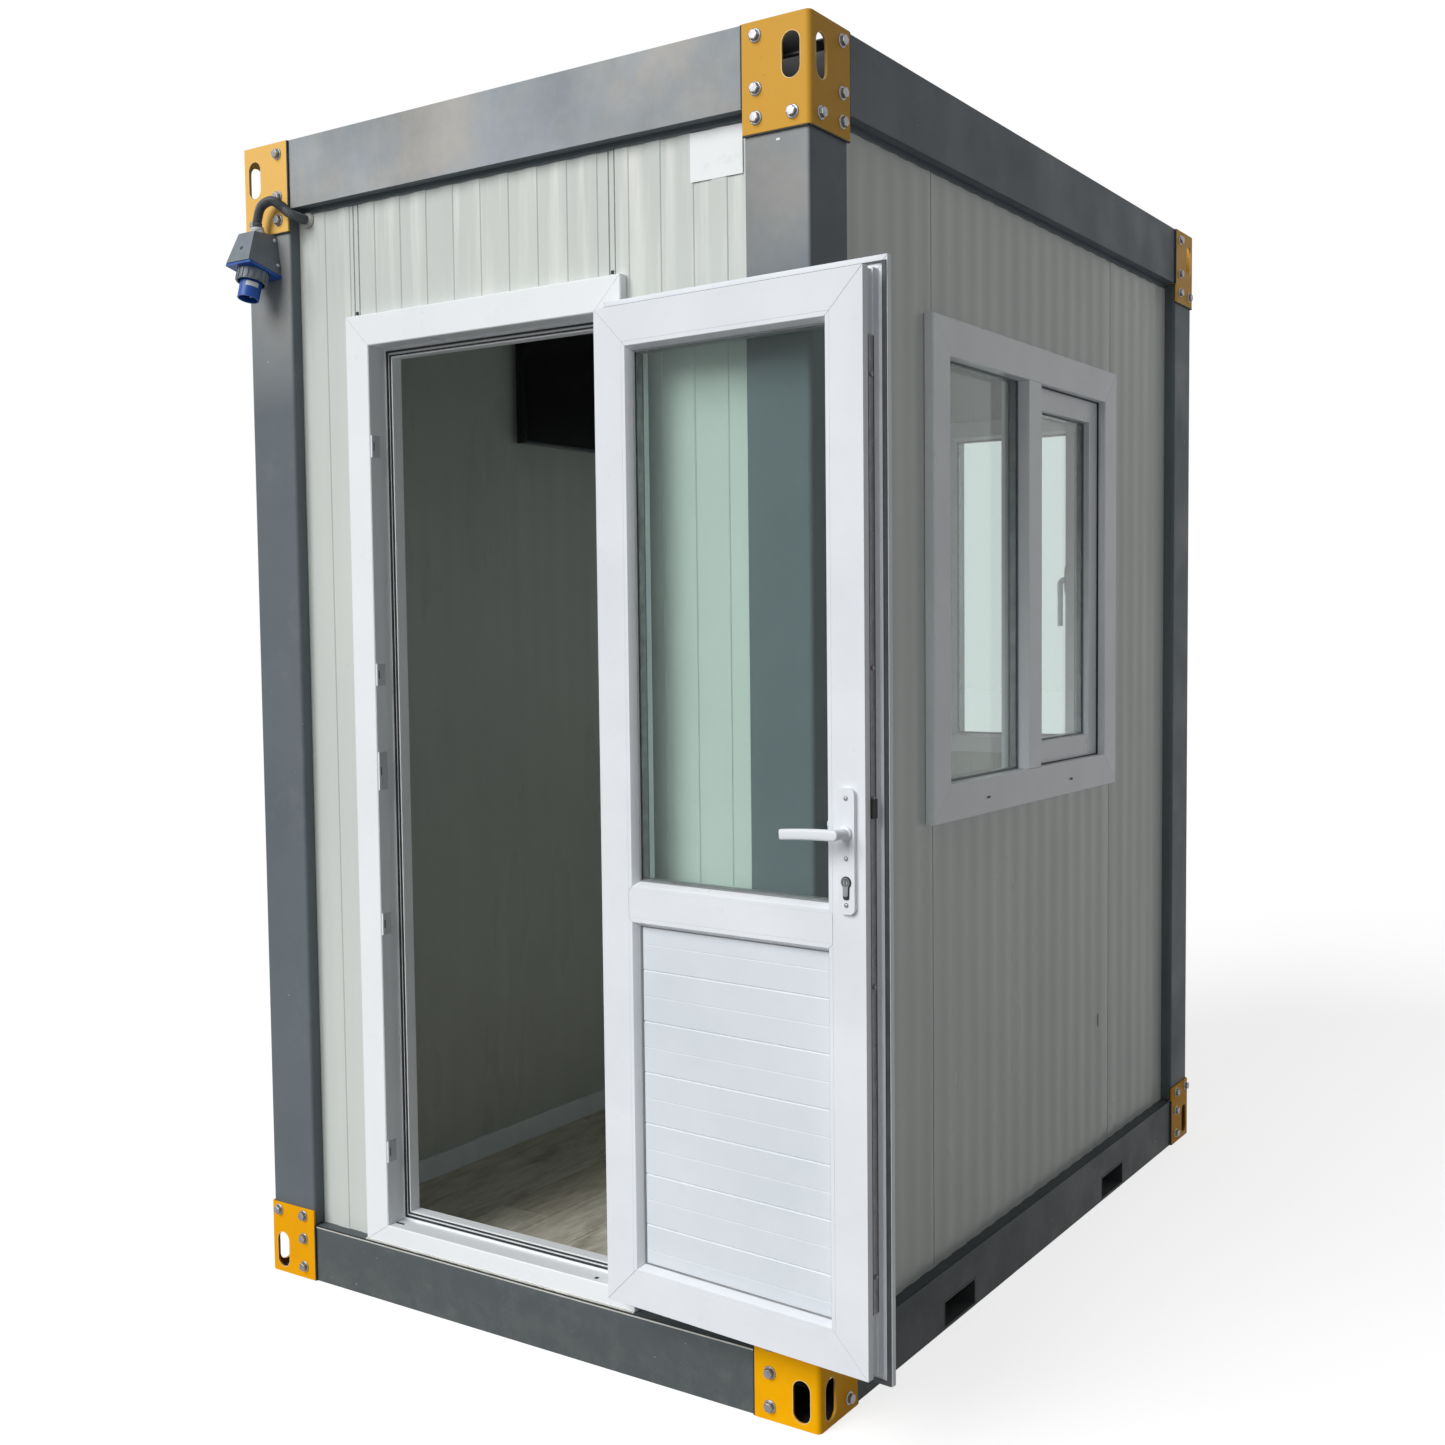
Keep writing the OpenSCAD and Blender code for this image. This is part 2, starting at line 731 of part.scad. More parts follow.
module door_sash() {
    color(frame_white) on_leaf() difference() {
        union() {
            box([leaf_x0, leaf_out_y, leaf_z0], [leaf_x1, leaf_in_y, leaf_z1]);
            box([rebate_x0 - flange_lap, leaf_out_y, rebate_z0 - flange_lap],
                [rebate_x1 + flange_lap, leaf_out_y + flange_t, rebate_z1 + flange_lap]);
        }
        for (field = [lower_field, upper_field]) {
            field_block(field, 0, glass_out_y, leaf_in_y + cut);
            field_block(field, -bead_w, leaf_out_y - cut, leaf_in_y + cut);
        }
        box([leaf_x0 - cut, lock_y - lock_w/2, lock_z0], [leaf_x0 + lock_t, lock_y + lock_w/2, lock_z1]);
        for (z = [lever_z, lever_z - cylinder_drop]) translate([spindle_x, leaf_out_y - cut, z])
            rotate([-90, 0, 0]) cylinder(r = cylinder_r, h = leaf_depth + 2*cut);
    }
}

module door_glass() {
    color(glass_green) on_leaf() field_block(upper_field, -glass_gap, glass_out_y, glass_in_y);
}

module door_infill() {
    z0 = lower_field[0] + glass_gap;
    z1 = lower_field[1] - glass_gap;
    color(frame_white) on_leaf() difference() {
        field_block(lower_field, -glass_gap, glass_out_y, glass_in_y);
        for (z = [z1 - plank_pitch:-plank_pitch:z0 + plank_groove], y = [glass_out_y, glass_in_y])
            box([field_x0, y - plank_groove_d, z - plank_groove/2],
                [field_x1, y + plank_groove_d, z + plank_groove/2]);
    }
}

// Bevelled glazing beads around a field, with their backs on the glass at y = 0
module beads(w, h, depth) {
    section = [[0, 0], [bead_w, 0], [bead_w, bead_edge], [bead_w/2, depth], [0, depth]];
    mitred_frame(w, h, section, bead_w);
}

module door_beads() {
    color(frame_white) on_leaf() for (field = [lower_field, upper_field])
        translate([(field_x0 + field_x1)/2, glass_in_y, (field[0] + field[1])/2])
            beads(field_x1 - field_x0, field[1] - field[0], bead_depth);
}

// Both handle plates, on the inside and on the outside of the leaf
module handle_plates() {
    color(frame_white) on_leaf() difference() {
        for (y = [leaf_in_y + plate_t, leaf_out_y]) translate([spindle_x, y, lever_z - plate_drop])
            rotate([90, 0, 0]) linear_extrude(plate_t) rounded_rectangle(plate_w, plate_h, plate_r);
        for (hole = [[lever_z, spindle_r], [lever_z - cylinder_drop, cylinder_r]])
            translate([spindle_x, leaf_out_y - plate_t - cut, hole[0]]) rotate([-90, 0, 0])
                cylinder(r = hole[1] + run_gap, h = leaf_depth + 2*plate_t + 2*cut);
    }
}

// Lock face strip, rollers, latch and cylinder
module door_lock() {
    color(zinc) on_leaf() {
        box([leaf_x0, lock_y - lock_w/2, lock_z0], [leaf_x0 + lock_t, lock_y + lock_w/2, lock_z1]);
        for (z = roller_places) translate([leaf_x0 - roller_out, lock_y, z]) rotate([0, 90, 0])
            cylinder(r = roller_r, h = roller_out + lock_t);
        translate([leaf_x0 - roller_out, lock_y - lock_w/4, latch_z - lock_w])
            cube([roller_out + lock_t, lock_w/2, 2*lock_w]);
        translate([spindle_x, leaf_out_y - plate_t, lever_z - cylinder_drop]) rotate([-90, 0, 0])
            cylinder(r = cylinder_r, h = leaf_depth + 2*plate_t + lock_t);
    }
}

// Lower halves of the hinges, on the face of the door frame
module hinge_frame_leaves() {
    color(frame_white) for (z = hinge_places) translate([hinge_x, 0, z - knuckle_len]) difference() {
        union() {
            translate([0, hinge_y, 0]) cylinder(r = knuckle_r, h = knuckle_len);
            box([-hinge_plate_t/2, hinge_y + hinge_pin_r, 0],
                [hinge_plate_t/2, frame_front, knuckle_len]);
            box([-hinge_plate_t/2, frame_front - hinge_plate_t, 0],
                [hinge_plate_w, frame_front, knuckle_len]);
        }
        translate([0, hinge_y, -cut]) cylinder(r = hinge_pin_r + run_gap, h = knuckle_len + 2*cut);
    }
}

// Upper halves of the hinges with their pins, on the outer face of the leaf
module hinge_sash_leaves() {
    color(frame_white) on_leaf() for (z = hinge_places) translate([hinge_x, hinge_y, z]) {
        translate([0, 0, run_gap]) cylinder(r = knuckle_r, h = knuckle_len - run_gap);
        translate([0, 0, -knuckle_len]) cylinder(r = hinge_pin_r, h = knuckle_len + cut);
        box([-2*knuckle_r - hinge_plate_w, leaf_out_y - hinge_y - hinge_plate_t, run_gap],
            [-hinge_pin_r, leaf_out_y - hinge_y, knuckle_len]);
    }
}

// One lever: rose, round neck and slim grip, standing off along +Y from y = 0 and pointing along +X
module lever() {
    reach = lever_off - lever_t/2;
    rotate([-90, 0, 0]) cylinder(r = rose_r, h = rose_t);
    rotate([-90, 0, 0]) cylinder(r = lever_r, h = reach);
    translate([-lever_h/2, reach, 0]) rotate([0, 90, 0]) linear_extrude(lever_len + lever_h/2)
        rounded_rectangle(lever_h, lever_t, lever_edge);
}

module lever_handles() {
    face = plate_t + run_gap;
    color(frame_white) on_leaf() translate([spindle_x, 0, lever_z]) {
        translate([0, leaf_in_y + face, 0]) lever();
        translate([0, leaf_out_y - face, 0]) mirror([0, 1, 0]) lever();
        translate([0, leaf_out_y - face - cut, 0]) rotate([-90, 0, 0])
            cylinder(r = spindle_r, h = leaf_depth + 2*face + 2*cut);
    }
}

// Children drawn with the frame face on y = 0 and the window's middle at the origin, outside towards -Y
module on_window(which) {
    if (which == "side") translate([wall_out_x + trim_proud, side_win_y, win_mid_z])
        rotate([0, 0, 90]) children();
    if (which == "back") translate([back_win_x, wall_out_y + trim_proud, win_mid_z])
        rotate([0, 0, 180]) children();
}

module flat_block(w, h, y0, y1) {
    box([-w/2, y0, -h/2], [w/2, y1, h/2]);
}

win_profile = [
    [frame_bevel, 0], [win_trim - frame_bevel, 0], [win_trim, frame_bevel], [win_trim, frame_depth],
    [trim_lap, frame_depth], [trim_lap, trim_proud], [0, trim_proud], [0, frame_bevel]
];

// Fixed light on the left seen from outside, opening light on the right
module window_frame() {
    difference() {
        union() {
            mitred_frame(win_w, win_h, win_profile, win_trim);
            flat_block(mullion_w, light_h + 2*cut, 0, frame_depth);
        }
        translate([-light_x, 0, 0])
            flat_block(light_w + 2*bead_w, light_h + 2*bead_w, win_lip_t, frame_depth + cut);
    }
}

module side_window_frame() {
    color(frame_white) on_window("side") window_frame();
}

module back_window_frame() {
    color(frame_white) on_window("back") window_frame();
}

module window_sash() {
    w = light_w - 2*sash_fit;
    h = light_h - 2*sash_fit;
    difference() {
        union() {
            flat_block(w, h, sash_back, sash_in);
            flat_block(light_w + 2*sash_lap, light_h + 2*sash_lap, frame_depth, sash_in);
        }
        flat_block(sash_glass_w, sash_glass_h, sash_back - cut, sash_in + cut);
        flat_block(sash_glass_w + 2*bead_w, sash_glass_h + 2*bead_w,
                   sash_back + win_sash_lip, sash_in + cut);
    }
}

module window_sashes() {
    color(frame_white) for (which = ["side", "back"]) on_window(which)
        translate([light_x, 0, 0]) window_sash();
}

module window_glass() {
    fixed = [light_w, light_h] + [2, 2]*(bead_w - glass_gap);
    opening = [sash_glass_w, sash_glass_h] + [2, 2]*(bead_w - glass_gap);
    sash_glass = sash_back + win_sash_lip;
    color(glass_green) for (which = ["side", "back"]) on_window(which) {
        translate([-light_x, 0, 0]) flat_block(fixed[0], fixed[1], win_lip_t, win_lip_t + glass_t);
        translate([light_x, 0, 0]) flat_block(opening[0], opening[1], sash_glass, sash_glass + glass_t);
    }
}

module window_beads() {
    sash_bead = sash_back + win_sash_lip + glass_t;
    color(frame_white) for (which = ["side", "back"]) on_window(which) {
        translate([-light_x, win_lip_t + glass_t, 0])
            beads(light_w + 2*bead_w, light_h + 2*bead_w, frame_depth - win_lip_t - glass_t);
        translate([light_x, sash_bead, 0])
            beads(sash_glass_w + 2*bead_w, sash_glass_h + 2*bead_w, sash_in - sash_bead);
    }
}

// Handle on the inside of the opening sash, pointing down
module window_handle() {
    reach = win_handle_off - win_handle_r;
    neck = reach - win_handle_bend;
    drop = win_handle_len - win_handle_r;
    flat_block(win_plate_w, win_plate_h, 0, win_plate_t);
    rotate([-90, 0, 0]) cylinder(r = win_handle_r, h = neck);
    translate([0, neck, -win_handle_bend]) rotate([90, 0, 90]) rotate_extrude(angle = 90)
        translate([win_handle_bend, 0]) circle(win_handle_r);
    translate([0, reach, -drop]) cylinder(r = win_handle_r, h = drop - win_handle_bend);
    translate([0, reach, -drop]) sphere(win_handle_r);
}

module window_handles() {
    stile = light_x + light_w/2 - sash_fit - win_sash_face/2 + bead_w/2;
    color(frame_white) for (which = ["side", "back"]) on_window(which)
        translate([stile, sash_in, 0]) window_handle();
}

// Wedge housing of the inlet on the front face of the left post
module inlet_housing() {
    foot_rise = inlet_d*tan(inlet_tilt);
    color(dark_grey) translate([inlet_x, -post_out_y, inlet_z]) {
        intersection() {
            rotate([90, 0, 90]) linear_extrude(inlet_w, center = true)
                polygon([[0, 0], [-inlet_d, foot_rise], [-inlet_top_d, inlet_h], [0, inlet_h]]);
            rotate([90, 0, 0]) linear_extrude(3*inlet_d, center = true)
                polygon([[-inlet_w/2, 0], [inlet_w/2, 0], [inlet_w/2, foot_rise],
                         [inlet_top_w/2, inlet_h], [-inlet_top_w/2, inlet_h], [-inlet_w/2, foot_rise]]);
        }
        translate([0, gland_y, inlet_h]) cylinder(r = gland_r, h = gland_h);
        on_plug() difference() {
            translate([0, 0, inlet_plate_t]) cylinder(r = collar_r, h = collar_len);
            translate([0, 0, inlet_plate_t - cut])
                cylinder(r = collar_r - collar_t, h = collar_len + 2*cut);
        }
    }
}

// Children drawn along +Z from the middle of the housing's foot, turned down and outwards
module on_plug() {
    translate([0, -inlet_d/2, inlet_d/2*tan(inlet_tilt)]) rotate([180 - inlet_tilt, 0, 0]) children();
}

module inlet_plug() {
    half_w = inlet_w/2 + inlet_plate_lap;
    half_d = inlet_d/cos(inlet_tilt)/2;
    color(plug_blue) translate([inlet_x, -post_out_y, inlet_z]) on_plug() {
        box([-half_w, -half_d, 0], [half_w, half_d - inlet_post_gap, inlet_plate_t]);
        difference() {
            cylinder(r = sleeve_r, h = sleeve_len);
            translate([0, 0, sleeve_floor]) cylinder(r = sleeve_r - sleeve_t, h = sleeve_len);
        }
        for (a = [0, 120, 240]) rotate([0, 0, a]) translate([sleeve_r/2, 0, 0])
            cylinder(r = pin_r, h = sleeve_len - pin_short);
    }
}

// A smooth line through the points of a route, and a tube swept along it
function blend(p, i, t) =
    let (a = p[max(i - 1, 0)], b = p[i], c = p[i + 1], d = p[min(i + 2, len(p) - 1)])
    0.5*(2*b + (c - a)*t + (2*a - 5*b + 4*c - d)*t*t + (3*b - a - 3*c + d)*t*t*t);
function smooth(p, n) =
    concat([for (i = [0:len(p) - 2], j = [0:n - 1]) blend(p, i, j/n)], [p[len(p) - 1]]);
function unit(v) = v/norm(v);

module swept_tube(points, r, sides) {
    n = len(points);
    across = unit([0, 1, 1]);
    rings = [for (i = [0:n - 1])
        let (t = unit(points[min(i + 1, n - 1)] - points[max(i - 1, 0)]))
        let (u = unit(cross(t, across)), v = cross(t, u))
        for (k = [0:sides - 1]) points[i] + r*(cos(360*k/sides)*u + sin(360*k/sides)*v)];
    skin = [for (i = [0:n - 2], k = [0:sides - 1]) let (m = (k + 1) % sides)
        [i*sides + k, i*sides + m, (i + 1)*sides + m, (i + 1)*sides + k]];
    ends = [[for (k = [sides - 1:-1:0]) k], [for (k = [0:sides - 1]) (n - 1)*sides + k]];
    polyhedron(rings, concat(skin, ends));
}

module conduit() {
    color(dark_grey) swept_tube(smooth(conduit_route, conduit_steps), conduit_r, conduit_sides);
}

// Flat screen with its wall plate, high on the left wall
module wall_screen() {
    x = -wall_in_x + screen_off;
    top = beam_z - screen_drop;
    color(black) {
        box([x, screen_y, top - screen_h], [x + screen_t, screen_y + screen_w, top]);
        translate([x - screen_off/2, screen_y + screen_w/2, top - screen_h/2])
            cube([screen_off, screen_plate, screen_plate], center = true);
    }
}

end_sill("front");  // front_sill
end_sill("back");  // back_sill
side_sill("left");  // left_sill
side_sill("right");  // right_sill
fork_pockets();
floor_joists();
floor_deck();
skirting();
corner_post(-1, -1);  // front_left_post
corner_post(1, -1);  // front_right_post
corner_post(-1, 1);  // back_left_post
corner_post(1, 1);  // back_right_post
top_beam("front", 2*post_in_x);  // front_top_beam
top_beam("back", 2*post_in_x);  // back_top_beam
top_beam("left", 2*post_in_y);  // left_top_beam
top_beam("right", 2*post_in_y);  // right_top_beam
roof_panel();
roof_sheet();
corner_brackets(-1, -1);  // front_left_brackets
corner_brackets(1, -1);  // front_right_brackets
corner_brackets(-1, 1);  // back_left_brackets
corner_brackets(1, 1);  // back_right_brackets
wall_slab("front", -post_in_x, hole_x0, sill_h, beam_z);  // front_wall_left
wall_slab("front", hole_x1, post_in_x, sill_h, beam_z);  // front_wall_right
wall_slab("front", hole_x0, hole_x1, hole_top, beam_z);  // front_wall_over_door
wall_slab("right", -post_in_y, side_win_y - win_hole_w/2, sill_h, beam_z);  // right_wall_front
wall_slab("right", side_win_y + win_hole_w/2, post_in_y, sill_h, beam_z);  // right_wall_rear
window_bay("right", side_win_y);  // right_wall_window_bay
wall_slab("back", -post_in_x, back_win_x - win_hole_w/2, sill_h, beam_z);  // back_wall_left
wall_slab("back", back_win_x + win_hole_w/2, post_in_x, sill_h, beam_z);  // back_wall_right
window_bay("back", back_win_x);  // back_wall_window_bay
wall_slab("left", -post_in_y, post_in_y, sill_h, beam_z);  // left_wall
door_frame();
strike_plates();
hinge_frame_leaves();
door_sash();
door_glass();
door_infill();
door_beads();
handle_plates();
door_lock();
hinge_sash_leaves();
lever_handles();
side_window_frame();
back_window_frame();
window_sashes();
window_glass();
window_beads();
window_handles();
inlet_housing();
inlet_plug();
conduit();
wall_screen();
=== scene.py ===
import json
import math
import random

import bmesh
import bpy
from mathutils import Matrix, Vector

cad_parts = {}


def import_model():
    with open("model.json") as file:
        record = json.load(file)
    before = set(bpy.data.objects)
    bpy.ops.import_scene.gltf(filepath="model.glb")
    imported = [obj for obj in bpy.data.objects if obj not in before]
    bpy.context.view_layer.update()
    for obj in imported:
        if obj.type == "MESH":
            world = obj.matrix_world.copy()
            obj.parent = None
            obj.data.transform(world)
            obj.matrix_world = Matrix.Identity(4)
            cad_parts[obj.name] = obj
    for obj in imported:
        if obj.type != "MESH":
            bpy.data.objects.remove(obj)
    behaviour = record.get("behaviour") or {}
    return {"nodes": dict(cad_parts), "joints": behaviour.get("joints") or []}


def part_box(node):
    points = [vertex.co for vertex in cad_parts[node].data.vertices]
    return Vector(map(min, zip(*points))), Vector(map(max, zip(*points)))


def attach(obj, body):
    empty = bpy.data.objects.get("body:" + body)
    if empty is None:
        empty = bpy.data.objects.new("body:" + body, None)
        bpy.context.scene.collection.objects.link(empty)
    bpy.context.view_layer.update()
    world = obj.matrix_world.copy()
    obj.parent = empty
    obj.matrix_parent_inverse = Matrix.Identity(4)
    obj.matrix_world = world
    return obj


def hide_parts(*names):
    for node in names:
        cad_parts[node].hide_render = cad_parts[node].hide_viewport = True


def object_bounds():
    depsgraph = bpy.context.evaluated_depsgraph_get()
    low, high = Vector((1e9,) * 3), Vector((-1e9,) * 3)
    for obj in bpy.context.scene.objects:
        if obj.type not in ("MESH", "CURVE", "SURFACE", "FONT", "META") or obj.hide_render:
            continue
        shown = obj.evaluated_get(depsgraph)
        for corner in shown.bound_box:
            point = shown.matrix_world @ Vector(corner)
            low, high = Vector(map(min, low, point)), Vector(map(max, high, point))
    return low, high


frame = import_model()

CAD_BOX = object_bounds()
TOP = CAD_BOX[1][2]
MM = 0.001
dice = random.Random(7)

# Corners of the booth, as signs along X and Y
CORNERS = {"front_left": (-1, -1), "front_right": (1, -1), "back_left": (-1, 1), "back_right": (1, 1)}

# Small pieces sink this far into what carries them, and parts that nearly touch stand this far apart
SINK = 1*MM
SLIT = 0.1*MM

# Wall panels: ribs and joints
RIB_PITCH = 76.6*MM
RIB_PHASE = 12*MM
RIB_DEPTH = 1.8*MM
RIB_FALL = 2*MM
RIB_RISE = 8*MM
JOINT_W = 3*MM
JOINT_DEPTH = 5*MM
JOINT_STRIP = 15*MM
JOINT_EDGE = 0.3*MM
TRIM_LAP = 25*MM

# White frames: face widths, depths behind the outer face, and gaps
MITRE_GAP = 0.5*MM
FRAME_BEVEL = 2*MM
FRAME_DEPTH = 78*MM
TRIM_PROUD = 21*MM
DOOR_TRIM = 68*MM
REBATE_DEPTH = 50*MM
STOP_W = 22*MM
LEAF_DEPTH = 62*MM
LEAF_LIP = 20*MM
FLANGE_T = 12*MM
FLANGE_SIDE = 18*MM
FLANGE_END = 23*MM
SASH_FACE = 69*MM
BEAD_W = 16*MM
BEAD_EDGE = 5*MM
GROOVE_W = 16*MM
GROOVE_DEPTH = 3*MM
WIN_TRIM = 80*MM
MULLION_W = 70*MM
MULLION_BACK = 0.3*MM
WIN_LIP = 30*MM
SASH_BACK = 22*MM
SASH_FIT = 1*MM
SASH_LAP = 8*MM
WIN_SASH_FACE = 55*MM
WIN_SASH_IN = 92*MM
WIN_SASH_LIP = 16*MM

# Double glazing
GLASS_T = 24*MM
PANE_T = 4*MM
GLASS_HOLD = 13*MM
SPACER_SHOW = 5*MM
GASKET_W = 3*MM
GASKET_T = 2*MM


# Colours and materials

def srgb(red, green, blue):
    """Linear colour of a display colour from 0 to 255."""
    def linear(value):
        value /= 255
        return value/12.92 if value <= 0.04045 else ((value + 0.055)/1.055)**2.4
    return (linear(red), linear(green), linear(blue), 1.0)


class Graph:
    """Shader nodes of a material or of the world."""

    def __init__(self, owner):
        owner.use_nodes = True
        self.tree = owner.node_tree

    def feed(self, socket, value):
        """Link a socket, or set a plain value."""
        if isinstance(value, bpy.types.NodeSocket):
            self.tree.links.new(value, socket)
        else:
            socket.default_value = value

    def node(self, kind, plugs, **settings):
        """Outputs of a new node, whose inputs are fed by name or number."""
        made = self.tree.nodes.new(kind)
        for key, value in settings.items():
            setattr(made, key, value)
        for key, value in plugs.items():
            self.feed(made.inputs[key], value)
        return made.outputs

    def math(self, operation, first, second):
        return self.node("ShaderNodeMath", {0: first, 1: second}, operation=operation)[0]

    def times(self, first, *others):
        for other in others:
            first = self.math("MULTIPLY", first, other)
        return first

    def span(self, value, low, high, to_low=0.0, to_high=1.0):
        """Map a value from one range to another, held at the ends."""
        plugs = {"Value": value, "From Min": low, "From Max": high, "To Min": to_low, "To Max": to_high}
        return self.node("ShaderNodeMapRange", plugs)["Result"]

    def seen(self):
        """One for rays that show the background to the camera, in mirrors or through glass, else nought."""
        rays = self.node("ShaderNodeLightPath", {})
        first = self.math("MAXIMUM", rays["Is Camera Ray"], rays["Is Glossy Ray"])
        return self.math("MAXIMUM", first, rays["Is Transmission Ray"])


class Finish(Graph):
    """One material, built around a Principled shader."""

    def __init__(self, name, **values):
        self.material = bpy.data.materials.new(name)
        super().__init__(self.material)
        self.shader = self.tree.nodes["Principled BSDF"]
        self.coords = self.node("ShaderNodeTexCoord", {})["Object"]
        for key, value in values.items():
            self.shader.inputs[key.replace("_", " ")].default_value = value

    def noise(self, scale, detail=4.0, roughness=0.55, stretch=(1, 1, 1), offset=(0, 0, 0)):
        place = self.node("ShaderNodeMapping", {"Vector": self.coords, "Scale": stretch, "Location": offset})
        plugs = {"Vector": place["Vector"], "Scale": scale, "Detail": detail, "Roughness": roughness}
        return self.node("ShaderNodeTexNoise", plugs)["Fac"]

    def clouds(self, scale, detail, roughness, low, high, top=1.0, **place):
        """Patches where the noise lies between two levels, rising from nought to a top value."""
        return self.span(self.noise(scale, detail, roughness, **place), low, high, 0.0, top)

    def mix(self, factor, *colours):
        """Blend of two colours. Three numbers are a display colour from 0 to 255."""
        first, second = [srgb(*c) if isinstance(c, tuple) and len(c) == 3 else c for c in colours]
        return self.node("ShaderNodeMix", {0: factor, 6: first, 7: second}, data_type="RGBA")[2]

    def height(self):
        return self.node("ShaderNodeSeparateXYZ", {0: self.coords})["Z"]

    def front(self):
        """How much a surface looks to the front."""
        normal = self.node("ShaderNodeNewGeometry", {})["Normal"]
        return self.times(self.node("ShaderNodeSeparateXYZ", {0: normal})["Y"], -1.0)

    def bump(self, height, distance, strength):
        plugs = {"Height": height, "Distance": distance, "Strength": strength}
        self.feed(self.shader.inputs["Normal"], self.node("ShaderNodeBump", plugs)["Normal"])

    def colour(self, value):
        self.feed(self.shader.inputs["Base Color"], value)

    def polish(self, scale, detail, low, high, **place):
        """Roughness that wanders between two values."""
        wander = self.span(self.noise(scale, detail, **place), 0.3, 0.7, low, high)
        self.feed(self.shader.inputs["Roughness"], wander)


def steel_paint(name, painted_sheen=0.0, low=(86, 92, 94)):
    """Slate grey frame paint with pale stains, darker towards the bottom, dust low down and an orange-peel
    skin.
    It may carry a painted sheen high on front-facing faces, in pale and warm cloudy patches."""
    f = Finish(name, Specular_IOR_Level=0.1)
    tone = f.mix(f.clouds(2.2, 6, 0.6, 0.38, 0.66), (100, 108, 113), (108, 116, 121))
    if painted_sheen:
        # Painted sheen: front-facing faces high up are lightened in cloudy patches, standing in for reflected
        # light.
        cloud = f.span(f.noise(3.5, 8, 0.65), 0.36, 0.64, 0.6*painted_sheen, painted_sheen)
        sheen_mask = f.times(f.span(f.front(), 0.5, 0.95), cloud, f.span(f.height(), 2.0, 2.25))
        warm = f.clouds(2.6, 8, 0.65, 0.42, 0.6, offset=(6.5, 0, 2))
        tone = f.mix(sheen_mask, tone, f.mix(warm, (176, 183, 189), (194, 191, 186)))
    # Darker towards the bottom; in the right sill's copy this low tone is painted shade.
    tone = f.mix(f.span(f.height(), 0.19, 0.11), tone, low)
    stain = f.clouds(9, 8, 0.7, 0.56, 0.74, 0.22, offset=(3, 1, 5))
    tone = f.mix(stain, tone, (140, 142, 142))
    dust = f.times(f.span(f.height(), 0.16, 0.0), f.clouds(14, 8, 0.7, 0.45, 0.75), 0.2)
    tone = f.mix(dust, tone, (150, 148, 142))
    chips = f.clouds(75, 3, 0.6, 0.74, 0.77, offset=(8, 2, 1))
    f.colour(f.mix(chips, tone, (186, 188, 190)))
    f.polish(6, 5, 0.36, 0.54)
    f.bump(f.noise(420, 2), 0.25*MM, 0.5)
    return f.material


def panel_paint(name, pale, deep, sheen=0.0):
    """Coated sheet of the sandwich panels, with faint upright streaks, and streaks of painted sheen high on
    front-facing faces.
    """
    f = Finish(name, Specular_IOR_Level=0.25)
    streak = f.clouds(9, 5, 0.6, 0.32, 0.7, stretch=(1, 1, 0.08))
    cloud = f.clouds(1.6, 5, 0.6, 0.35, 0.68, offset=(4, 4, 0))
    tone = f.mix(f.times(f.math("ADD", streak, cloud), 0.5), deep, pale)
    if sheen:
        # Painted sheen: pale upright streaks high on front-facing faces stand in for reflected light.
        sheen_stripe = f.clouds(20, 4, 0.55, 0.5, 0.66, sheen, stretch=(1, 1, 0.06), offset=(9, 3, 0))
        sheen_stripe = f.times(sheen_stripe, f.span(f.height(), 1.9, 2.4), f.span(f.front(), 0.3, 0.8))
        tone = f.mix(sheen_stripe, tone, (242, 243, 237))
    specks = f.clouds(120, 3, 0.6, 0.72, 0.76, 0.35, offset=(2, 7, 3))
    f.colour(f.mix(specks, tone, (150, 148, 140)))
    f.polish(5, 4, 0.24, 0.4, stretch=(1, 1, 0.3))
    f.bump(f.noise(12, 3, 0.5, stretch=(1, 1, 0.2)), 1.2*MM, 0.3)
    return f.material


def white_plastic(name, deep, pale):
    """White extruded plastic, clean, with a little grime in places."""
    f = Finish(name, Specular_IOR_Level=0.35)
    tone = f.mix(f.clouds(3.5, 6, 0.6, 0.35, 0.7), deep, pale)
    grime = f.clouds(22, 8, 0.7, 0.62, 0.85, 0.3, offset=(1, 6, 2))
    f.colour(f.mix(grime, tone, (196, 196, 194)))
    f.polish(8, 4, 0.27, 0.4)
    f.bump(f.noise(260, 2), 0.08*MM, 0.4)
    return f.material


def bracket_paint(name, deep, pale, high):
    """Amber bracket paint, a little uneven, paler higher up and chipped to primer in spots."""
    f = Finish(name, Specular_IOR_Level=0.08)
    tone = f.mix(f.clouds(7, 6, 0.6, 0.35, 0.7), deep, pale)
    tone = f.mix(f.span(f.height(), 0.6, 2.4, 0, 0.85), tone, high)
    scuff = f.clouds(30, 8, 0.75, 0.63, 0.72, 0.5, stretch=(1, 1, 0.4), offset=(5, 0, 2))
    tone = f.mix(scuff, tone, (212, 146, 24))
    chips = f.clouds(95, 3, 0.6, 0.73, 0.75, offset=(2, 9, 4))
    f.colour(f.mix(chips, tone, (120, 104, 84)))
    f.polish(12, 5, 0.38, 0.55)
    f.bump(f.noise(350, 2), 0.2*MM, 0.5)
    return f.material


def zinc_plate(name, colour, shine):
    """Plated steel with a mottled sheen."""
    f = Finish(name, Metallic=0.9)
    f.colour(f.mix(f.clouds(45, 6, 0.65, 0.3, 0.7), tuple(0.82*c for c in colour), colour))
    f.polish(60, 4, shine, shine + 0.18, offset=(3, 3, 3))
    f.bump(f.noise(500, 2), 0.1*MM, 0.4)
    return f.material


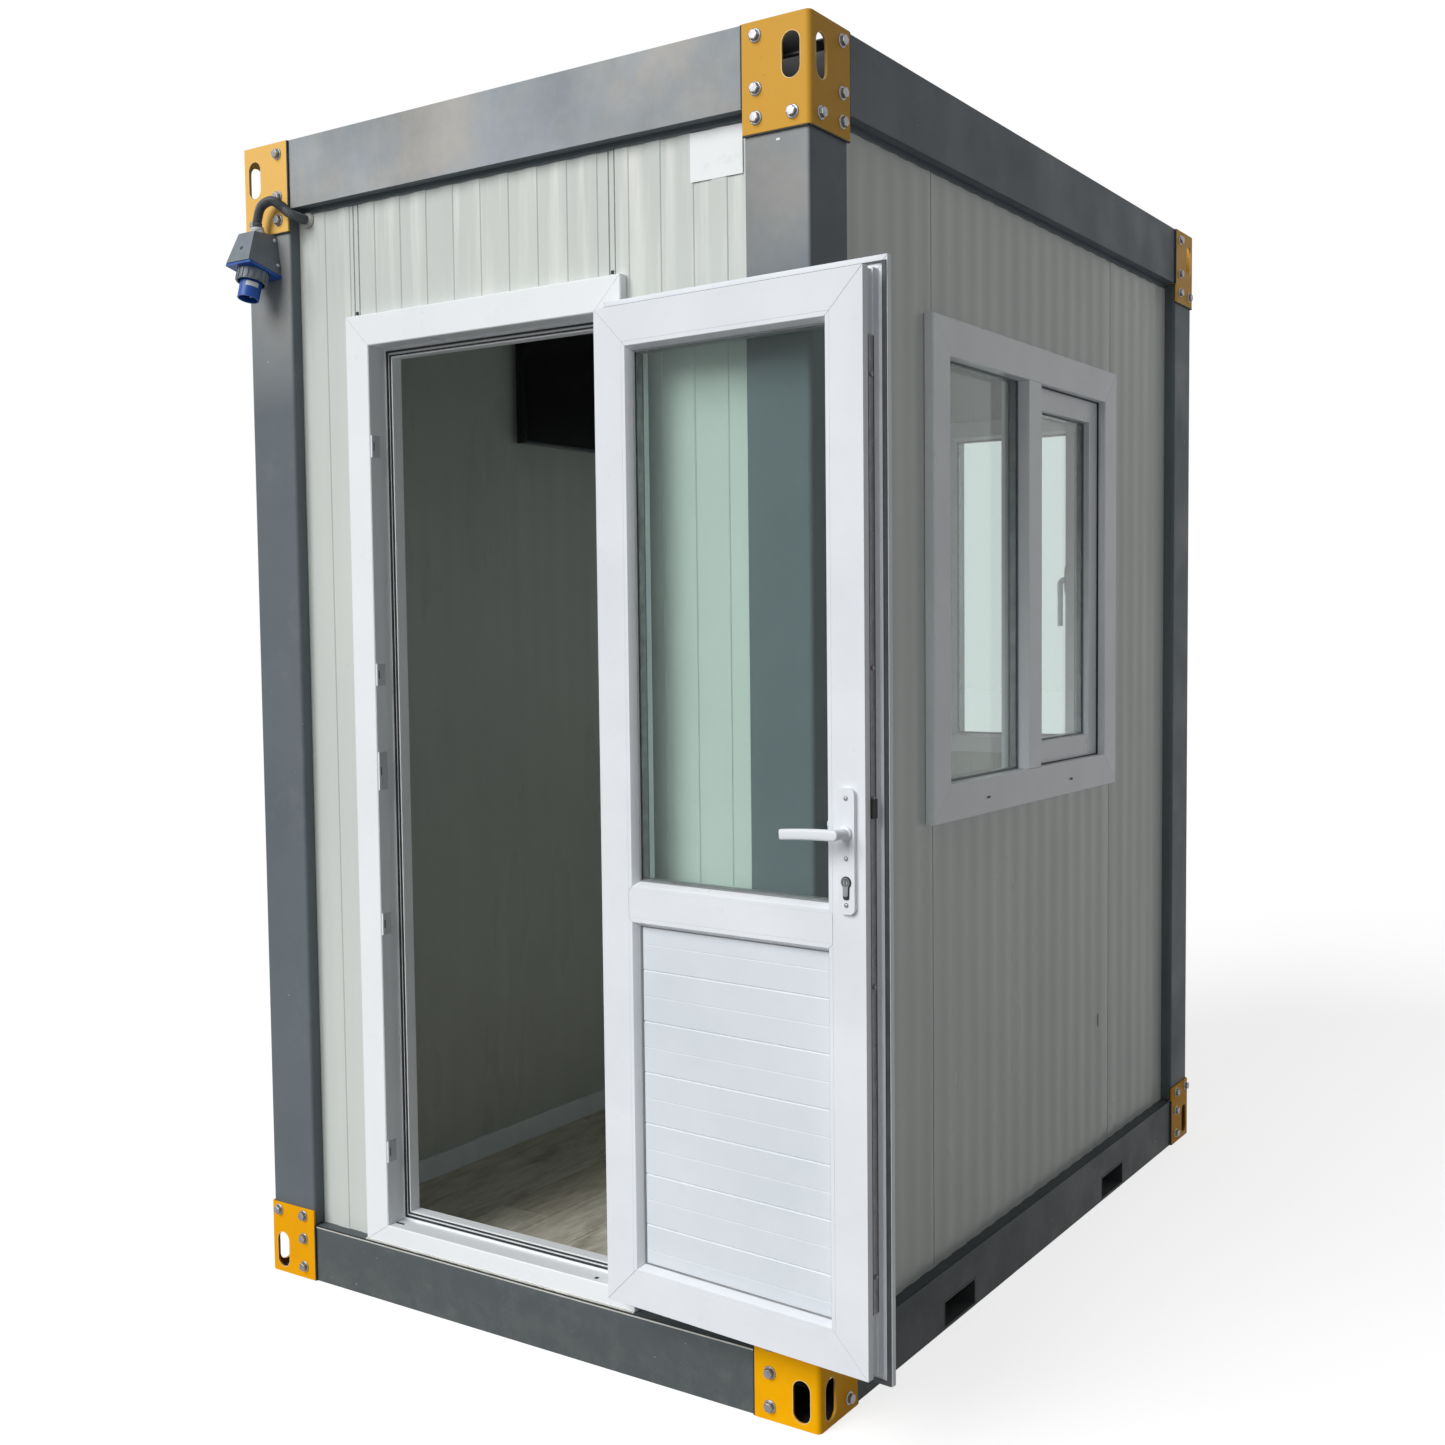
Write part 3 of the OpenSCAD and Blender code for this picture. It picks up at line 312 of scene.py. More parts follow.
def moulded(name, deep, pale, low_rough, grain=300):
    """Moulded plastic or rubber, with a fine grain."""
    f = Finish(name, Specular_IOR_Level=0.4)
    f.colour(f.mix(f.clouds(18, 6, 0.6, 0.32, 0.7), deep, pale))
    f.polish(40, 4, low_rough, low_rough + 0.16)
    f.bump(f.noise(grain, 2), 0.15*MM, 0.5)
    return f.material


def clear_glass(name, tint):
    """Pale green pane that lets lamps through."""
    f = Finish(name, Base_Color=tint, Roughness=0.0, IOR=1.22, Transmission_Weight=1.0)
    shadow = f.node("ShaderNodeLightPath", {})["Is Shadow Ray"]
    clear = f.node("ShaderNodeBsdfTransparent", {"Color": (0.94, 0.96, 0.955, 1)})[0]
    blend = f.node("ShaderNodeMixShader", {0: shadow, 1: f.shader.outputs[0], 2: clear})
    f.feed(f.tree.nodes["Material Output"].inputs["Surface"], blend[0])
    return f.material


def floor_boards():
    """Weathered grey-brown boards: grain along Y, knots, and a tone of its own for each board."""
    f = Finish("floor_boards", Specular_IOR_Level=0.35)
    board = f.node("ShaderNodeAttribute", {}, attribute_name="tone")["Fac"]
    grain = f.clouds(13, 10, 0.68, 0.3, 0.72, stretch=(5, 0.8, 1))
    knots = f.clouds(6, 6, 0.65, 0.55, 0.74, 0.6, stretch=(2, 1, 1), offset=(1, 2, 0))
    pale = f.mix(board, (205, 200, 183), (234, 231, 216))
    deep = f.mix(board, (150, 144, 126), (184, 179, 162))
    f.colour(f.mix(knots, f.mix(grain, deep, pale), (118, 108, 90)))
    f.feed(f.shader.inputs["Roughness"], f.span(grain, 0, 1, 0.45, 0.6))
    f.bump(grain, 0.4*MM, 0.4)
    return f.material


def screen_gloss():
    """Near-black panel of the screen."""
    f = Finish("screen_gloss", Specular_IOR_Level=0.5)
    f.colour(f.mix(f.clouds(4, 4, 0.55, 0.35, 0.7), (8, 9, 11), (15, 16, 19)))
    f.polish(30, 4, 0.12, 0.22)
    return f.material


def blank_paper():
    """Bare white sheet with a few grey smudges."""
    f = Finish("blank_paper", Specular_IOR_Level=0.3)
    f.colour(f.mix(f.clouds(28, 8, 0.7, 0.55, 0.8, 0.5), (246, 249, 250), (205, 209, 211)))
    f.polish(50, 3, 0.5, 0.65)
    f.bump(f.noise(45, 4), 0.5*MM, 0.4)
    return f.material


STEEL = steel_paint("steel_paint")
# Copies with painted sheen high on the front: full strength for the front beam, about half for the front
# posts.
STEEL_PAINTED_SHEEN = steel_paint("steel_painted_sheen", 0.9)
STEEL_HALF_SHEEN = steel_paint("steel_half_sheen", 0.55)
# Copy with a darker low tone: painted shade for the right sill.
STEEL_PAINTED_SHADE = steel_paint("steel_painted_shade", low=(64, 70, 74))
PANEL = panel_paint("panel_paint", (213, 218, 213), (203, 208, 204), 0.7)
# Darker copy of the panel paint for inner faces and the ceiling: painted shade.
PANEL_PAINTED_SHADE = panel_paint("panel_painted_shade", (192, 197, 191), (182, 187, 182))
ROOFING = panel_paint("roof_paint", (178, 182, 180), (160, 165, 164))
PLASTIC = white_plastic("white_plastic", (230, 234, 239), (239, 242, 246))
# Paler copy of the white plastic for the door frame: painted light against the shade in its rebates.
PLASTIC_PAINTED_LIGHT = white_plastic("frame_white", (241, 245, 248), (247, 250, 252))
PLANK_PLASTIC = white_plastic("plank_plastic", (217, 224, 231), (226, 232, 238))
AMBER = bracket_paint("bracket_paint", (240, 165, 0), (251, 178, 4), (238, 184, 88))
# Copies for the two front corners, lighter in different places: painted light.
AMBER_LEFT_PAINTED_LIGHT = bracket_paint("bracket_paint_left_light", (240, 165, 0), (251, 178, 4), (251, 205, 120))
AMBER_RIGHT_PAINTED_LIGHT = bracket_paint("bracket_paint_right_light", (248, 174, 0), (255, 186, 2), (216, 165, 72))
ZINC = zinc_plate("zinc_plate", (152, 154, 158), 0.26)
LOCK_STEEL = zinc_plate("lock_steel", (132, 132, 137), 0.34)
DOOR_GLASS = clear_glass("door_glass", (0.71, 0.755, 0.74, 1))
WINDOW_GLASS = clear_glass("window_glass", (0.86, 0.9, 0.89, 1))
BOARDS = floor_boards()
SKIRTING = moulded("skirting_paint", (218, 225, 230), (228, 234, 238), 0.4)
RUBBER = moulded("black_rubber", (26, 27, 29), (40, 41, 43), 0.55)
GASKET = moulded("dark_gasket", (62, 65, 69), (80, 84, 88), 0.5)
SPACER = zinc_plate("spacer_bar", (158, 161, 162), 0.4)
GREY_RUBBER = moulded("grey_rubber", (122, 125, 127), (142, 145, 147), 0.5)
DARK_PLASTIC = moulded("dark_plastic", (56, 63, 69), (70, 78, 84), 0.38)
CONDUIT_GREY = moulded("conduit_grey", (80, 84, 88), (98, 102, 106), 0.4)
HOUSING_PLASTIC = moulded("housing_plastic", (104, 114, 122), (122, 132, 140), 0.36)
PALE_PLASTIC = moulded("pale_plastic", (198, 201, 204), (220, 223, 225), 0.4)
BLUE_PLASTIC = moulded("blue_plastic", (5, 68, 150), (12, 88, 182), 0.34)
# Near-black finish of the plates inside the corners: painted shade.
PAINTED_CORNER_SHADE = moulded("painted_corner_shade", (27, 28, 31), (42, 43, 46), 0.5)
WORN_EDGE = moulded("worn_edge", (232, 196, 128), (246, 222, 170), 0.45)
SCREEN = screen_gloss()
PAPER = blank_paper()
SEALANT = moulded("sealant", (186, 186, 180), (214, 214, 208), 0.6, 120)


# Shapes

class Shape:
    """Vertices and faces of one piece, put together part by part."""

    def __init__(self):
        self.verts, self.faces, self.slots, self.tones = [], [], [], []

    def loft(self, rings, slot=0, place=None, loop=False, tone=0.0):
        """Skin over rings of points. The ends are capped, or the last ring joins the first."""
        first = len(self.verts)
        count = len(rings[0])
        for ring in rings:
            self.verts += [place @ Vector(p) if place else Vector(p) for p in ring]
        faces = []
        for i in range(len(rings) if loop else len(rings) - 1):
            here = first + i*count
            there = first + (i + 1) % len(rings)*count
            for k in range(count):
                m = (k + 1) % count
                faces.append((here + k, here + m, there + m, there + k))
        if not loop:
            last = first + (len(rings) - 1)*count
            faces.append(tuple(range(first + count - 1, first - 1, -1)))
            faces.append(tuple(range(last, last + count)))
        self.faces += faces
        self.slots += [slot]*len(faces)
        self.tones += [tone]*len(faces)
        return self

    def box(self, corner, opposite, slot=0, place=None, tone=0.0):
        (x0, x1), (y0, y1), (z0, z1) = [sorted(pair) for pair in zip(corner, opposite)]
        rings = [[(x0, y0, z), (x1, y0, z), (x1, y1, z), (x0, y1, z)] for z in (z0, z1)]
        return self.loft(rings, slot, place, tone=tone)

    def prism(self, outline, start, end, axis, slot=0, place=None):
        """Carry an outline straight along an axis. Its points lie along the other two axes, in order."""
        def point(u, v, w):
            return {"x": (w, u, v), "y": (u, w, v), "z": (u, v, w)}[axis]
        return self.loft([[point(u, v, w) for u, v in outline] for w in (start, end)], slot, place)

    def lathe(self, profile, sides, slot=0, place=None, loop=False, turn=0.0):
        """Turn a profile of (radius, height) points about the local Z axis."""
        angles = [turn + 2*math.pi*k/sides for k in range(sides)]
        rings = [[(r*math.cos(a), r*math.sin(a), h) for a in angles] for r, h in profile]
        return self.loft(rings, slot, place, loop)

    def mitred(self, width, height, depths, side, top=None, bottom=None, slot=0, place=None):
        """Four bars around a field in XZ, about the origin, mitred at the corners.
        The section's points lie at these distances from the outer edge and these depths along +Y."""
        top = top or side
        bottom = bottom or side

        def corner(sx, sz, i, along_x):
            ends = top if sz > 0 else bottom
            x = width/2 - side[i] - (MITRE_GAP/2 if along_x else 0)
            z = height/2 - ends[i] - (0 if along_x else MITRE_GAP/2)
            return (sx*x, depths[i], sz*z)

        points = range(len(depths))
        for sign in (-1, 1):
            self.loft([[corner(sx, sign, i, True) for i in points] for sx in (-1, 1)], slot, place)
            self.loft([[corner(sign, sz, i, False) for i in points] for sz in (-1, 1)], slot, place)
        return self

    def ring(self, width, height, thick, y0, y1, slot=0, place=None):
        """Plain four-sided ring with square bars, its outer size given."""
        return self.mitred(width, height, [y0, y0, y1, y1], [0, thick, thick, 0], slot=slot, place=place)

    def sweep(self, path, sections, up, slot=0, place=None):
        """Carry rings of (across, up) points along a path, one ring for each path point."""
        path = [Vector(p) for p in path]
        upward = Vector(up)
        rings = []
        for i, point in enumerate(path):
            tangent = (path[min(i + 1, len(path) - 1)] - path[max(i - 1, 0)]).normalized()
            upward = (upward - upward.dot(tangent)*tangent).normalized()
            across = tangent.cross(upward)
            rings.append([point + a*across + b*upward for a, b in sections[i]])
        return self.loft(rings, slot, place)


def oval(half_across, half_up, sides, power):
    """Points of a rounded ring section, between an ellipse and a rectangle."""
    def bulge(value):
        return math.copysign(abs(value)**(2/power), value)
    angles = [2*math.pi*k/sides for k in range(sides)]
    return [(half_across*bulge(math.cos(a)), half_up*bulge(math.sin(a))) for a in angles]


def obround(half_w, half_h, steps=12):
    """Outline of an upright slot with round ends."""
    angles = [math.pi*k/steps for k in range(steps + 1)]
    top = [(half_w*math.cos(a), half_h - half_w + half_w*math.sin(a)) for a in angles]
    return top + [(-x, -z) for x, z in top]


def scaled(points):
    """Points given in millimetres."""
    return [(a*MM, b*MM) for a, b in points]


def at(x, y, z):
    return Matrix.Translation((x, y, z))


def turned(angle, axis):
    return Matrix.Rotation(angle, 4, axis)


def facing(point, normal):
    """Placement with the local Z axis along a normal."""
    return Matrix.Translation(point) @ Vector(normal).to_track_quat("Z", "Y").to_matrix().to_4x4()


def soften(obj, width, segments=2):
    bevel = obj.modifiers.new("soft_edges", "BEVEL")
    bevel.width = width
    bevel.segments = segments
    bevel.limit_method = "ANGLE"
    bevel.angle_limit = math.radians(35)
    bevel.harden_normals = True


def add(name, data):
    obj = bpy.data.objects.new(name, data)
    bpy.context.scene.collection.objects.link(obj)
    return obj


def piece(name, shape, materials, body="booth", replaces=(), bevel=0.0, sharp=35):
    """Make an object from a shape, give it its finish and let it ride on a body."""
    mesh = bpy.data.meshes.new(name)
    mesh.from_pydata(shape.verts, [], shape.faces)
    mesh.polygons.foreach_set("material_index", shape.slots)
    mesh.attributes.new("tone", "FLOAT", "FACE").data.foreach_set("value", shape.tones)
    work = bmesh.new()
    work.from_mesh(mesh)
    bmesh.ops.remove_doubles(work, verts=work.verts, dist=0.001*MM)
    bmesh.ops.recalc_face_normals(work, faces=work.faces)
    work.to_mesh(mesh)
    work.free()
    mesh.polygons.foreach_set("use_smooth", [True]*len(mesh.polygons))
    mesh.set_sharp_from_angle(angle=math.radians(sharp))
    for material in materials:
        mesh.materials.append(material)
    obj = add(name, mesh)
    if bevel:
        soften(obj, bevel)
    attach(obj, body)
    if replaces:
        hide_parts(*replaces)
    return obj


def dress(names, material, bevel=0.0, segments=2):
    """Give CAD nodes a finish and, where asked, softened edges."""
    for name in names:
        obj = frame["nodes"][name]
        for holder in obj.material_slots:
            holder.material = material
        if bevel:
            weld = obj.modifiers.new("weld", "WELD")
            weld.merge_threshold = 0.01*MM
            soften(obj, bevel, segments)
            obj.modifiers.new("even_normals", "WEIGHTED_NORMAL")


# Steel frame, roof and brackets

def steel_frame():
    sides = ("front", "back", "left", "right")
    dress([c + "_post" for c in CORNERS], STEEL, 4*MM, 3)
    dress([s + "_top_beam" for s in sides] + [s + "_sill" for s in sides], STEEL, 2.5*MM)
    # Painted sheen high on the front beam and the front posts.
    dress(["front_top_beam"], STEEL_PAINTED_SHEEN)
    dress(["front_left_post", "front_right_post"], STEEL_HALF_SHEEN)
    # Painted shade on the right sill.
    dress(["right_sill"], STEEL_PAINTED_SHADE)
    dress(["fork_pockets", "floor_joists"], STEEL)
    dress([c + "_brackets" for c in CORNERS], AMBER, 1.2*MM)
    # The front corners take the bracket copies with painted light.
    dress(["front_left_brackets"], AMBER_LEFT_PAINTED_LIGHT)
    dress(["front_right_brackets"], AMBER_RIGHT_PAINTED_LIGHT)
    # The ceiling takes the darker panel copy: painted shade.
    dress(["roof_panel"], PANEL_PAINTED_SHADE, 1*MM)
    dress(["roof_sheet"], ROOFING)


# Bolts on a bracket leaf: distance from the booth's corner, and distance from the top or the ground
TOP_BOLTS = [(115, 26), (115, 120), (115, 172), (37, 174)]
LOW_BOLTS = [(110, 28), (110, 94), (110, 148), (28, 148)]
WASHER = [(0, 0), (13, 0), (13, 1.4), (11.6, 2.6), (0, 2.6)]
HEAD = [(0, 2), (10.2, 2), (10.2, 8.6), (8.8, 10), (0, 10.2)]
SLOT_HALF = (19*MM, 41*MM)
SLOT_IN = 40*MM
SLOT_TOP = 2527*MM
SLOT_LOW = 54*MM
EDGE_W = 1.3*MM
EDGE_OUT = (-0.5*MM, 0.3*MM)
BRACKET_LEAF = 145*MM
BRACKET_TOP_H = 200*MM
BRACKET_T = 5*MM
# Width and set-back of the painted shade lines along the bracket edges
SHADE_LINE_W = 3*MM
SHADE_LINE_BACK = 0.5*MM


def corner_edges(corner):
    """Where the outer faces of a corner's brackets lie, along X and Y."""
    low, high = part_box(corner + "_brackets")
    sx, sy = CORNERS[corner]
    return (high.x if sx > 0 else low.x), (high.y if sy > 0 else low.y)


def leaf_places():
    """All bracket leaves: the corner, a function from (distance from it, z) to a point, and the normal."""
    for corner, (sx, sy) in CORNERS.items():
        x, y = corner_edges(corner)
        yield corner, lambda d, z: Vector((x - sx*d, y, z)), Vector((0, sy, 0))
        yield corner, lambda d, z: Vector((x, y - sy*d, z)), Vector((sx, 0, 0))


def bolts():
    shapes = {corner: Shape() for corner in CORNERS}
    spots = [(d, TOP - drop) for d, drop in scaled(TOP_BOLTS)] + scaled(LOW_BOLTS)
    for corner, point, normal in leaf_places():
        for d, z in spots:
            place = facing(point(d, z), normal)
            shapes[corner].lathe(scaled(WASHER), 24, 0, place)
            shapes[corner].lathe(scaled(HEAD), 6, 0, place, turn=dice.uniform(0, math.pi))
    for corner, shape in shapes.items():
        piece(corner + "_bolts", shape, [ZINC], bevel=0.5*MM)


def slot_edges():
    """Pale rims of the bracket slots, where the paint has worn thin."""
    shape = Shape()
    inner, outer = EDGE_OUT
    for _, point, normal in leaf_places():
        across = Vector((0, 0, 1)).cross(normal)
        for z in (SLOT_TOP, SLOT_LOW):
            middle = point(SLOT_IN, z)
            rings = []
            for grow, out in ((0, inner), (EDGE_W, inner), (EDGE_W, outer), (0, outer)):
                line = obround(SLOT_HALF[0] + grow, SLOT_HALF[1] + grow)
                rings.append([middle + a*across + Vector((0, 0, b)) + out*normal for a, b in line])
            shape.loft(rings, loop=True)
    piece("slot_rims", shape, [WORN_EDGE])


def bracket_shade_lines():
    """Dark lines of painted shade along the bracket edges: beside beam and sill, and under the top bracket,
    over the plate's shaded edge and the gap behind it.
    """
    under = TOP - BRACKET_TOP_H
    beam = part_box("front_top_beam")[0].z
    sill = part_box("front_sill")[1].z
    shape = Shape()
    for _, point, normal in leaf_places():
        for start, end, low, high in ((BRACKET_LEAF, BRACKET_LEAF + SHADE_LINE_W, beam, TOP - SINK),
                                      (BRACKET_LEAF, BRACKET_LEAF + SHADE_LINE_W, SINK, sill - SINK),
                                      (BRACKET_T, BRACKET_LEAF, under - 0.8*SHADE_LINE_W, under)):
            section = ((start, -BRACKET_T), (end, -BRACKET_T), (end, -SHADE_LINE_BACK), (start, -SHADE_LINE_BACK))
            shape.loft([[point(d, z) + out*normal for d, out in section] for z in (low, high)])
    piece("bracket_shade_lines", shape, [RUBBER])


# Wall panels

def rib_offset(s, joints):
    """How far a panel's face lies back at a place along the wall."""
    for joint in joints:
        if abs(s - joint) < JOINT_W/2 + SLIT:
            return JOINT_DEPTH
    phase = (s - RIB_PHASE) % RIB_PITCH
    half = RIB_PITCH/2
    if phase < half:
        return RIB_DEPTH*min(1, phase/RIB_FALL)
    return RIB_DEPTH*max(0, 1 - (phase - half)/RIB_RISE)


def rib_line(start, end, joints):
    """Places along a panel and their set-back, at the rib edges and joint edges."""
    stops = {start, end}
    first = math.floor((start - RIB_PHASE)/RIB_PITCH)
    for k in range(first, first + int((end - start)/RIB_PITCH) + 3):
        base = RIB_PHASE + k*RIB_PITCH
        stops |= {base, base + RIB_FALL, base + RIB_PITCH/2, base + RIB_PITCH/2 + RIB_RISE}
    for joint in joints:
        edge = JOINT_W/2
        stops |= {joint - edge - JOINT_EDGE, joint - edge, joint + edge, joint + edge + JOINT_EDGE}
    return [(s, rib_offset(s, joints)) for s in sorted(stops) if start <= s <= end]


def twin(place):
    """A cover strip between two fine grooves."""
    return [place - JOINT_STRIP/2, place + JOINT_STRIP/2]


# Panel joints along each wall
JOINTS = {"front": twin(-428*MM) + twin(278*MM), "right": [-533*MM, 506*MM],
          "left": [-533*MM, 506*MM], "back": [-26*MM]}
WALLS = {"front": ["front_wall_left", "front_wall_right", "front_wall_over_door"],
         "right": ["right_wall_front", "right_wall_rear", "right_wall_window_bay"],
         "back": ["back_wall_left", "back_wall_right", "back_wall_window_bay"],
         "left": ["left_wall"]}
BAY_WINDOW = {"right_wall_window_bay": "side_window_frame", "back_wall_window_bay": "back_window_frame"}
WALL_TRIM = (12*MM, 3*MM)


def wall_panel(name, side):
    """Ribbed sandwich panel in the place of a wall slab."""
    low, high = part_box(name)
    along = 0 if side in ("front", "back") else 1
    across = 1 - along
    outward = -1 if side in ("front", "left") else 1
    inner, outer = [box[across] for box in ((high, low) if outward < 0 else (low, high))]
    outside = [(s, outer - outward*d) for s, d in rib_line(low[along], high[along], JOINTS[side])]
    inside = [(s, inner + outward*d) for s, d in reversed(rib_line(low[along], high[along], []))]
    outline = [(s, t) if along == 0 else (t, s) for s, t in outside + inside]
    heights = [(low.z, high.z)]
    if name in BAY_WINDOW:
        hole_low, hole_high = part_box(BAY_WINDOW[name])
        heights = [(low.z, hole_low.z + TRIM_LAP), (hole_high.z - TRIM_LAP, high.z)]
    shape = Shape()
    for start, end in heights:
        shape.prism(outline, start, end, "z")
    # Inner faces take the darker panel copy: painted shade.
    for i, face in enumerate(shape.faces):
        level = sum(shape.verts[k][across] for k in face)/len(face)
        if abs(level - inner) < abs(outer - inner)/4:
            shape.slots[i] = 1
    piece(name + "_panel", shape, [PANEL, PANEL_PAINTED_SHADE], replaces=[name], sharp=15)


def walls():
    for side, names in WALLS.items():
        for name in names:
            wall_panel(name, side)


def wall_trims():
    """Dark edge strips where the walls meet the beams."""
    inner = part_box("front_left_post")[1]
    wall_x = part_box("right_wall_front")[1].x
    wall_y = -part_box("front_wall_left")[0].y
    tall, thick = WALL_TRIM
    low, top = inner.z - tall, inner.z
    shape = Shape()
    for sign in (-1, 1):
        shape.box((inner.x, sign*(wall_y - SINK), low), (-inner.x, sign*(wall_y + thick), top))
        shape.box((sign*(wall_x - SINK), inner.y, low), (sign*(wall_x + thick), -inner.y, top))
    piece("wall_trims", shape, [STEEL], bevel=0.6*MM)


# Plates inside the corners, as (distance from the booth's corner along X, depth below the top):
# one closes the end of a side beam, one hangs behind the slot of the front or back leaf
END_PLATE = [(9, 25), (85, 25), (85, 2), (144, 2), (144, 146), (9, 146)]
LUG_PLATE = [(28, 8), (138, 8), (138, 62), (28, 62)]
LUG_IN = 45*MM
LUG_LIP = 12*MM
CORNER_PLATE_T = 4*MM
FOOT_PLATE = (8*MM, 144*MM)


def corner_plates():
    """Dark plates inside the hollow corners, seen through the slots: near-black sheets of painted shade."""
    shape = Shape()
    for corner, (sx, sy) in CORNERS.items():
        x, y = corner_edges(corner)
        post_low, post_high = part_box(corner + "_post")
        end_y = post_low.y if sy > 0 else post_high.y
        lug_y = y - sy*LUG_IN
        for plate, start in ((END_PLATE, end_y), (LUG_PLATE, lug_y)):
            outline = [(x - sx*d, TOP - z) for d, z in scaled(plate)]
            shape.prism(outline, start, start + sy*CORNER_PLATE_T, "y")
        (near, _), _, (far, drop), _ = scaled(LUG_PLATE)
        shape.box((x - sx*near, lug_y, TOP - drop),
                  (x - sx*far, lug_y + sy*LUG_LIP, TOP - drop + CORNER_PLATE_T), 1)
        near, far = FOOT_PLATE
        shape.box((x - sx*near, y - sy*near, SINK), (x - sx*far, y - sy*far, SINK + CORNER_PLATE_T))
    piece("corner_plates", shape, [PAINTED_CORNER_SHADE, STEEL], bevel=0.6*MM)


# White frames

def glazing(glass, fittings, width, height, y0, place):
    """Two panes with their spacer and gaskets behind a sight opening, from depth y0 on."""
    half_w = width/2 + GLASS_HOLD
    half_h = height/2 + GLASS_HOLD
    back = y0 + GLASS_T - PANE_T
    for y in (y0, back):
        glass.box((-half_w, y, -half_h), (half_w, y + PANE_T, half_h), 0, place)
    fittings.ring(2*(half_w - SINK), 2*(half_h - SINK), GLASS_HOLD - SINK + SPACER_SHOW,
                  y0 + PANE_T + SLIT, back - SLIT, 1, place)
    gaskets(fittings, width, height, y0, place)


def gaskets(fittings, width, height, y0, place):
    """Dark lines where lip and bead meet the pane."""
    for start in (y0 - GASKET_T, y0 + GLASS_T):
        fittings.ring(width, height, GASKET_W, start, start + GASKET_T, 0, place)


def beads(shape, width, height, y0, y1, place):
    """Bevelled beads around a sight opening, from the pane to the inner face."""
    depths = [y0, y0, y0 + BEAD_EDGE, y1, y1]
    shape.mitred(width + 2*BEAD_W, height + 2*BEAD_W, depths, [0, BEAD_W, BEAD_W, BEAD_W/2, 0], place=place)


def frame_section(face, step, inner):
    """Depths and distances from the edge of an outer frame: bevelled face, a step, and a lap on the wall."""
    depths = [0, 0, FRAME_BEVEL, step, step, FRAME_DEPTH, FRAME_DEPTH, TRIM_PROUD, TRIM_PROUD, FRAME_BEVEL]
    side = [FRAME_BEVEL, face - FRAME_BEVEL, face, face, inner, inner, TRIM_LAP, TRIM_LAP, 0, 0]
    return depths, side


# Seals in the rebate of the door frame: distance from its face, and width
FRAME_SEALS = ((7*MM, 4*MM), (16*MM, 3*MM))
SEAL_T = 3*MM


def door_frame():
    low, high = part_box("door_frame")
    bottom_z = low.z - TRIM_LAP
    place = at((low.x + high.x)/2, low.y, (bottom_z + high.z)/2)
    width = high.x - low.x
    height = high.z - bottom_z
    depths, side = frame_section(DOOR_TRIM, REBATE_DEPTH, DOOR_TRIM + STOP_W)
    bottom = [max(u, TRIM_LAP) for u in side]
    shape = Shape().mitred(width, height, depths, side, bottom=bottom, place=place)
    # The door frame takes the paler plastic copy: painted light.
    piece("door_frame_bars", shape, [PLASTIC_PAINTED_LIGHT], replaces=["door_frame"], bevel=0.5*MM)
    seal = Shape()
    for inset, wide in FRAME_SEALS:
        grow = 2*(DOOR_TRIM + inset)
        seal.ring(width - grow, height - grow, wide, REBATE_DEPTH - SEAL_T, REBATE_DEPTH, 0, place)
    piece("door_frame_seals", seal, [RUBBER])


def joint(name):
    return next(j for j in frame["joints"] if j["name"] == name)


# The leaf is laid out closed, and swung open about the hinge line to its place at rest
SWING = joint("door_swing")
HINGE = Matrix.Translation(Vector(SWING["pos_m"]))
LEAF = HINGE @ turned(math.radians(-SWING["range_deg"][0]), "Z") @ HINGE.inverted()


def closed_box(node):
    """Lowest and highest corner of a node of the leaf, with the leaf closed."""
    shut = LEAF.inverted()
    points = [shut @ v.co for v in frame["nodes"][node].data.vertices]
    return [Vector([pick(p[i] for p in points) for i in range(3)]) for pick in (min, max)]


FIELD_FIT = 3*MM
# Seal on the flange: distances from the leaf's edge at the sides and foot, and at the head
LEAF_SEAL = (1.5*MM, 9.5*MM)
HEAD_SEAL = (10.5*MM, 14*MM)
# Lines of the planked panel: half width and depth, at each joint and between joints
PLANK_PITCH = 100*MM
PLANK_JOINT = (2.2*MM, 1.6*MM)
PLANK_LINE = (1.2*MM, 0.5*MM)
PLANK_END = 5*MM


class Leaf:
    """Places of the closed leaf, read from the frame."""
    low, high = closed_box("door_sash")
    out_y = low.y
    in_y = low.y + LEAF_DEPTH
    x0 = low.x + FLANGE_SIDE + SASH_FACE
    x1 = high.x - FLANGE_SIDE - SASH_FACE
    sight_w = x1 - x0 - 2*BEAD_W
    lower = (low.z + FLANGE_END + SASH_FACE, closed_box("door_infill")[1].z + FIELD_FIT)
    upper = (closed_box("door_glass")[0].z - FIELD_FIT, high.z - FLANGE_END - SASH_FACE)
    strip_x = low.x + FLANGE_SIDE
    strip_y = out_y + (LEAF_DEPTH + FLANGE_T)/2


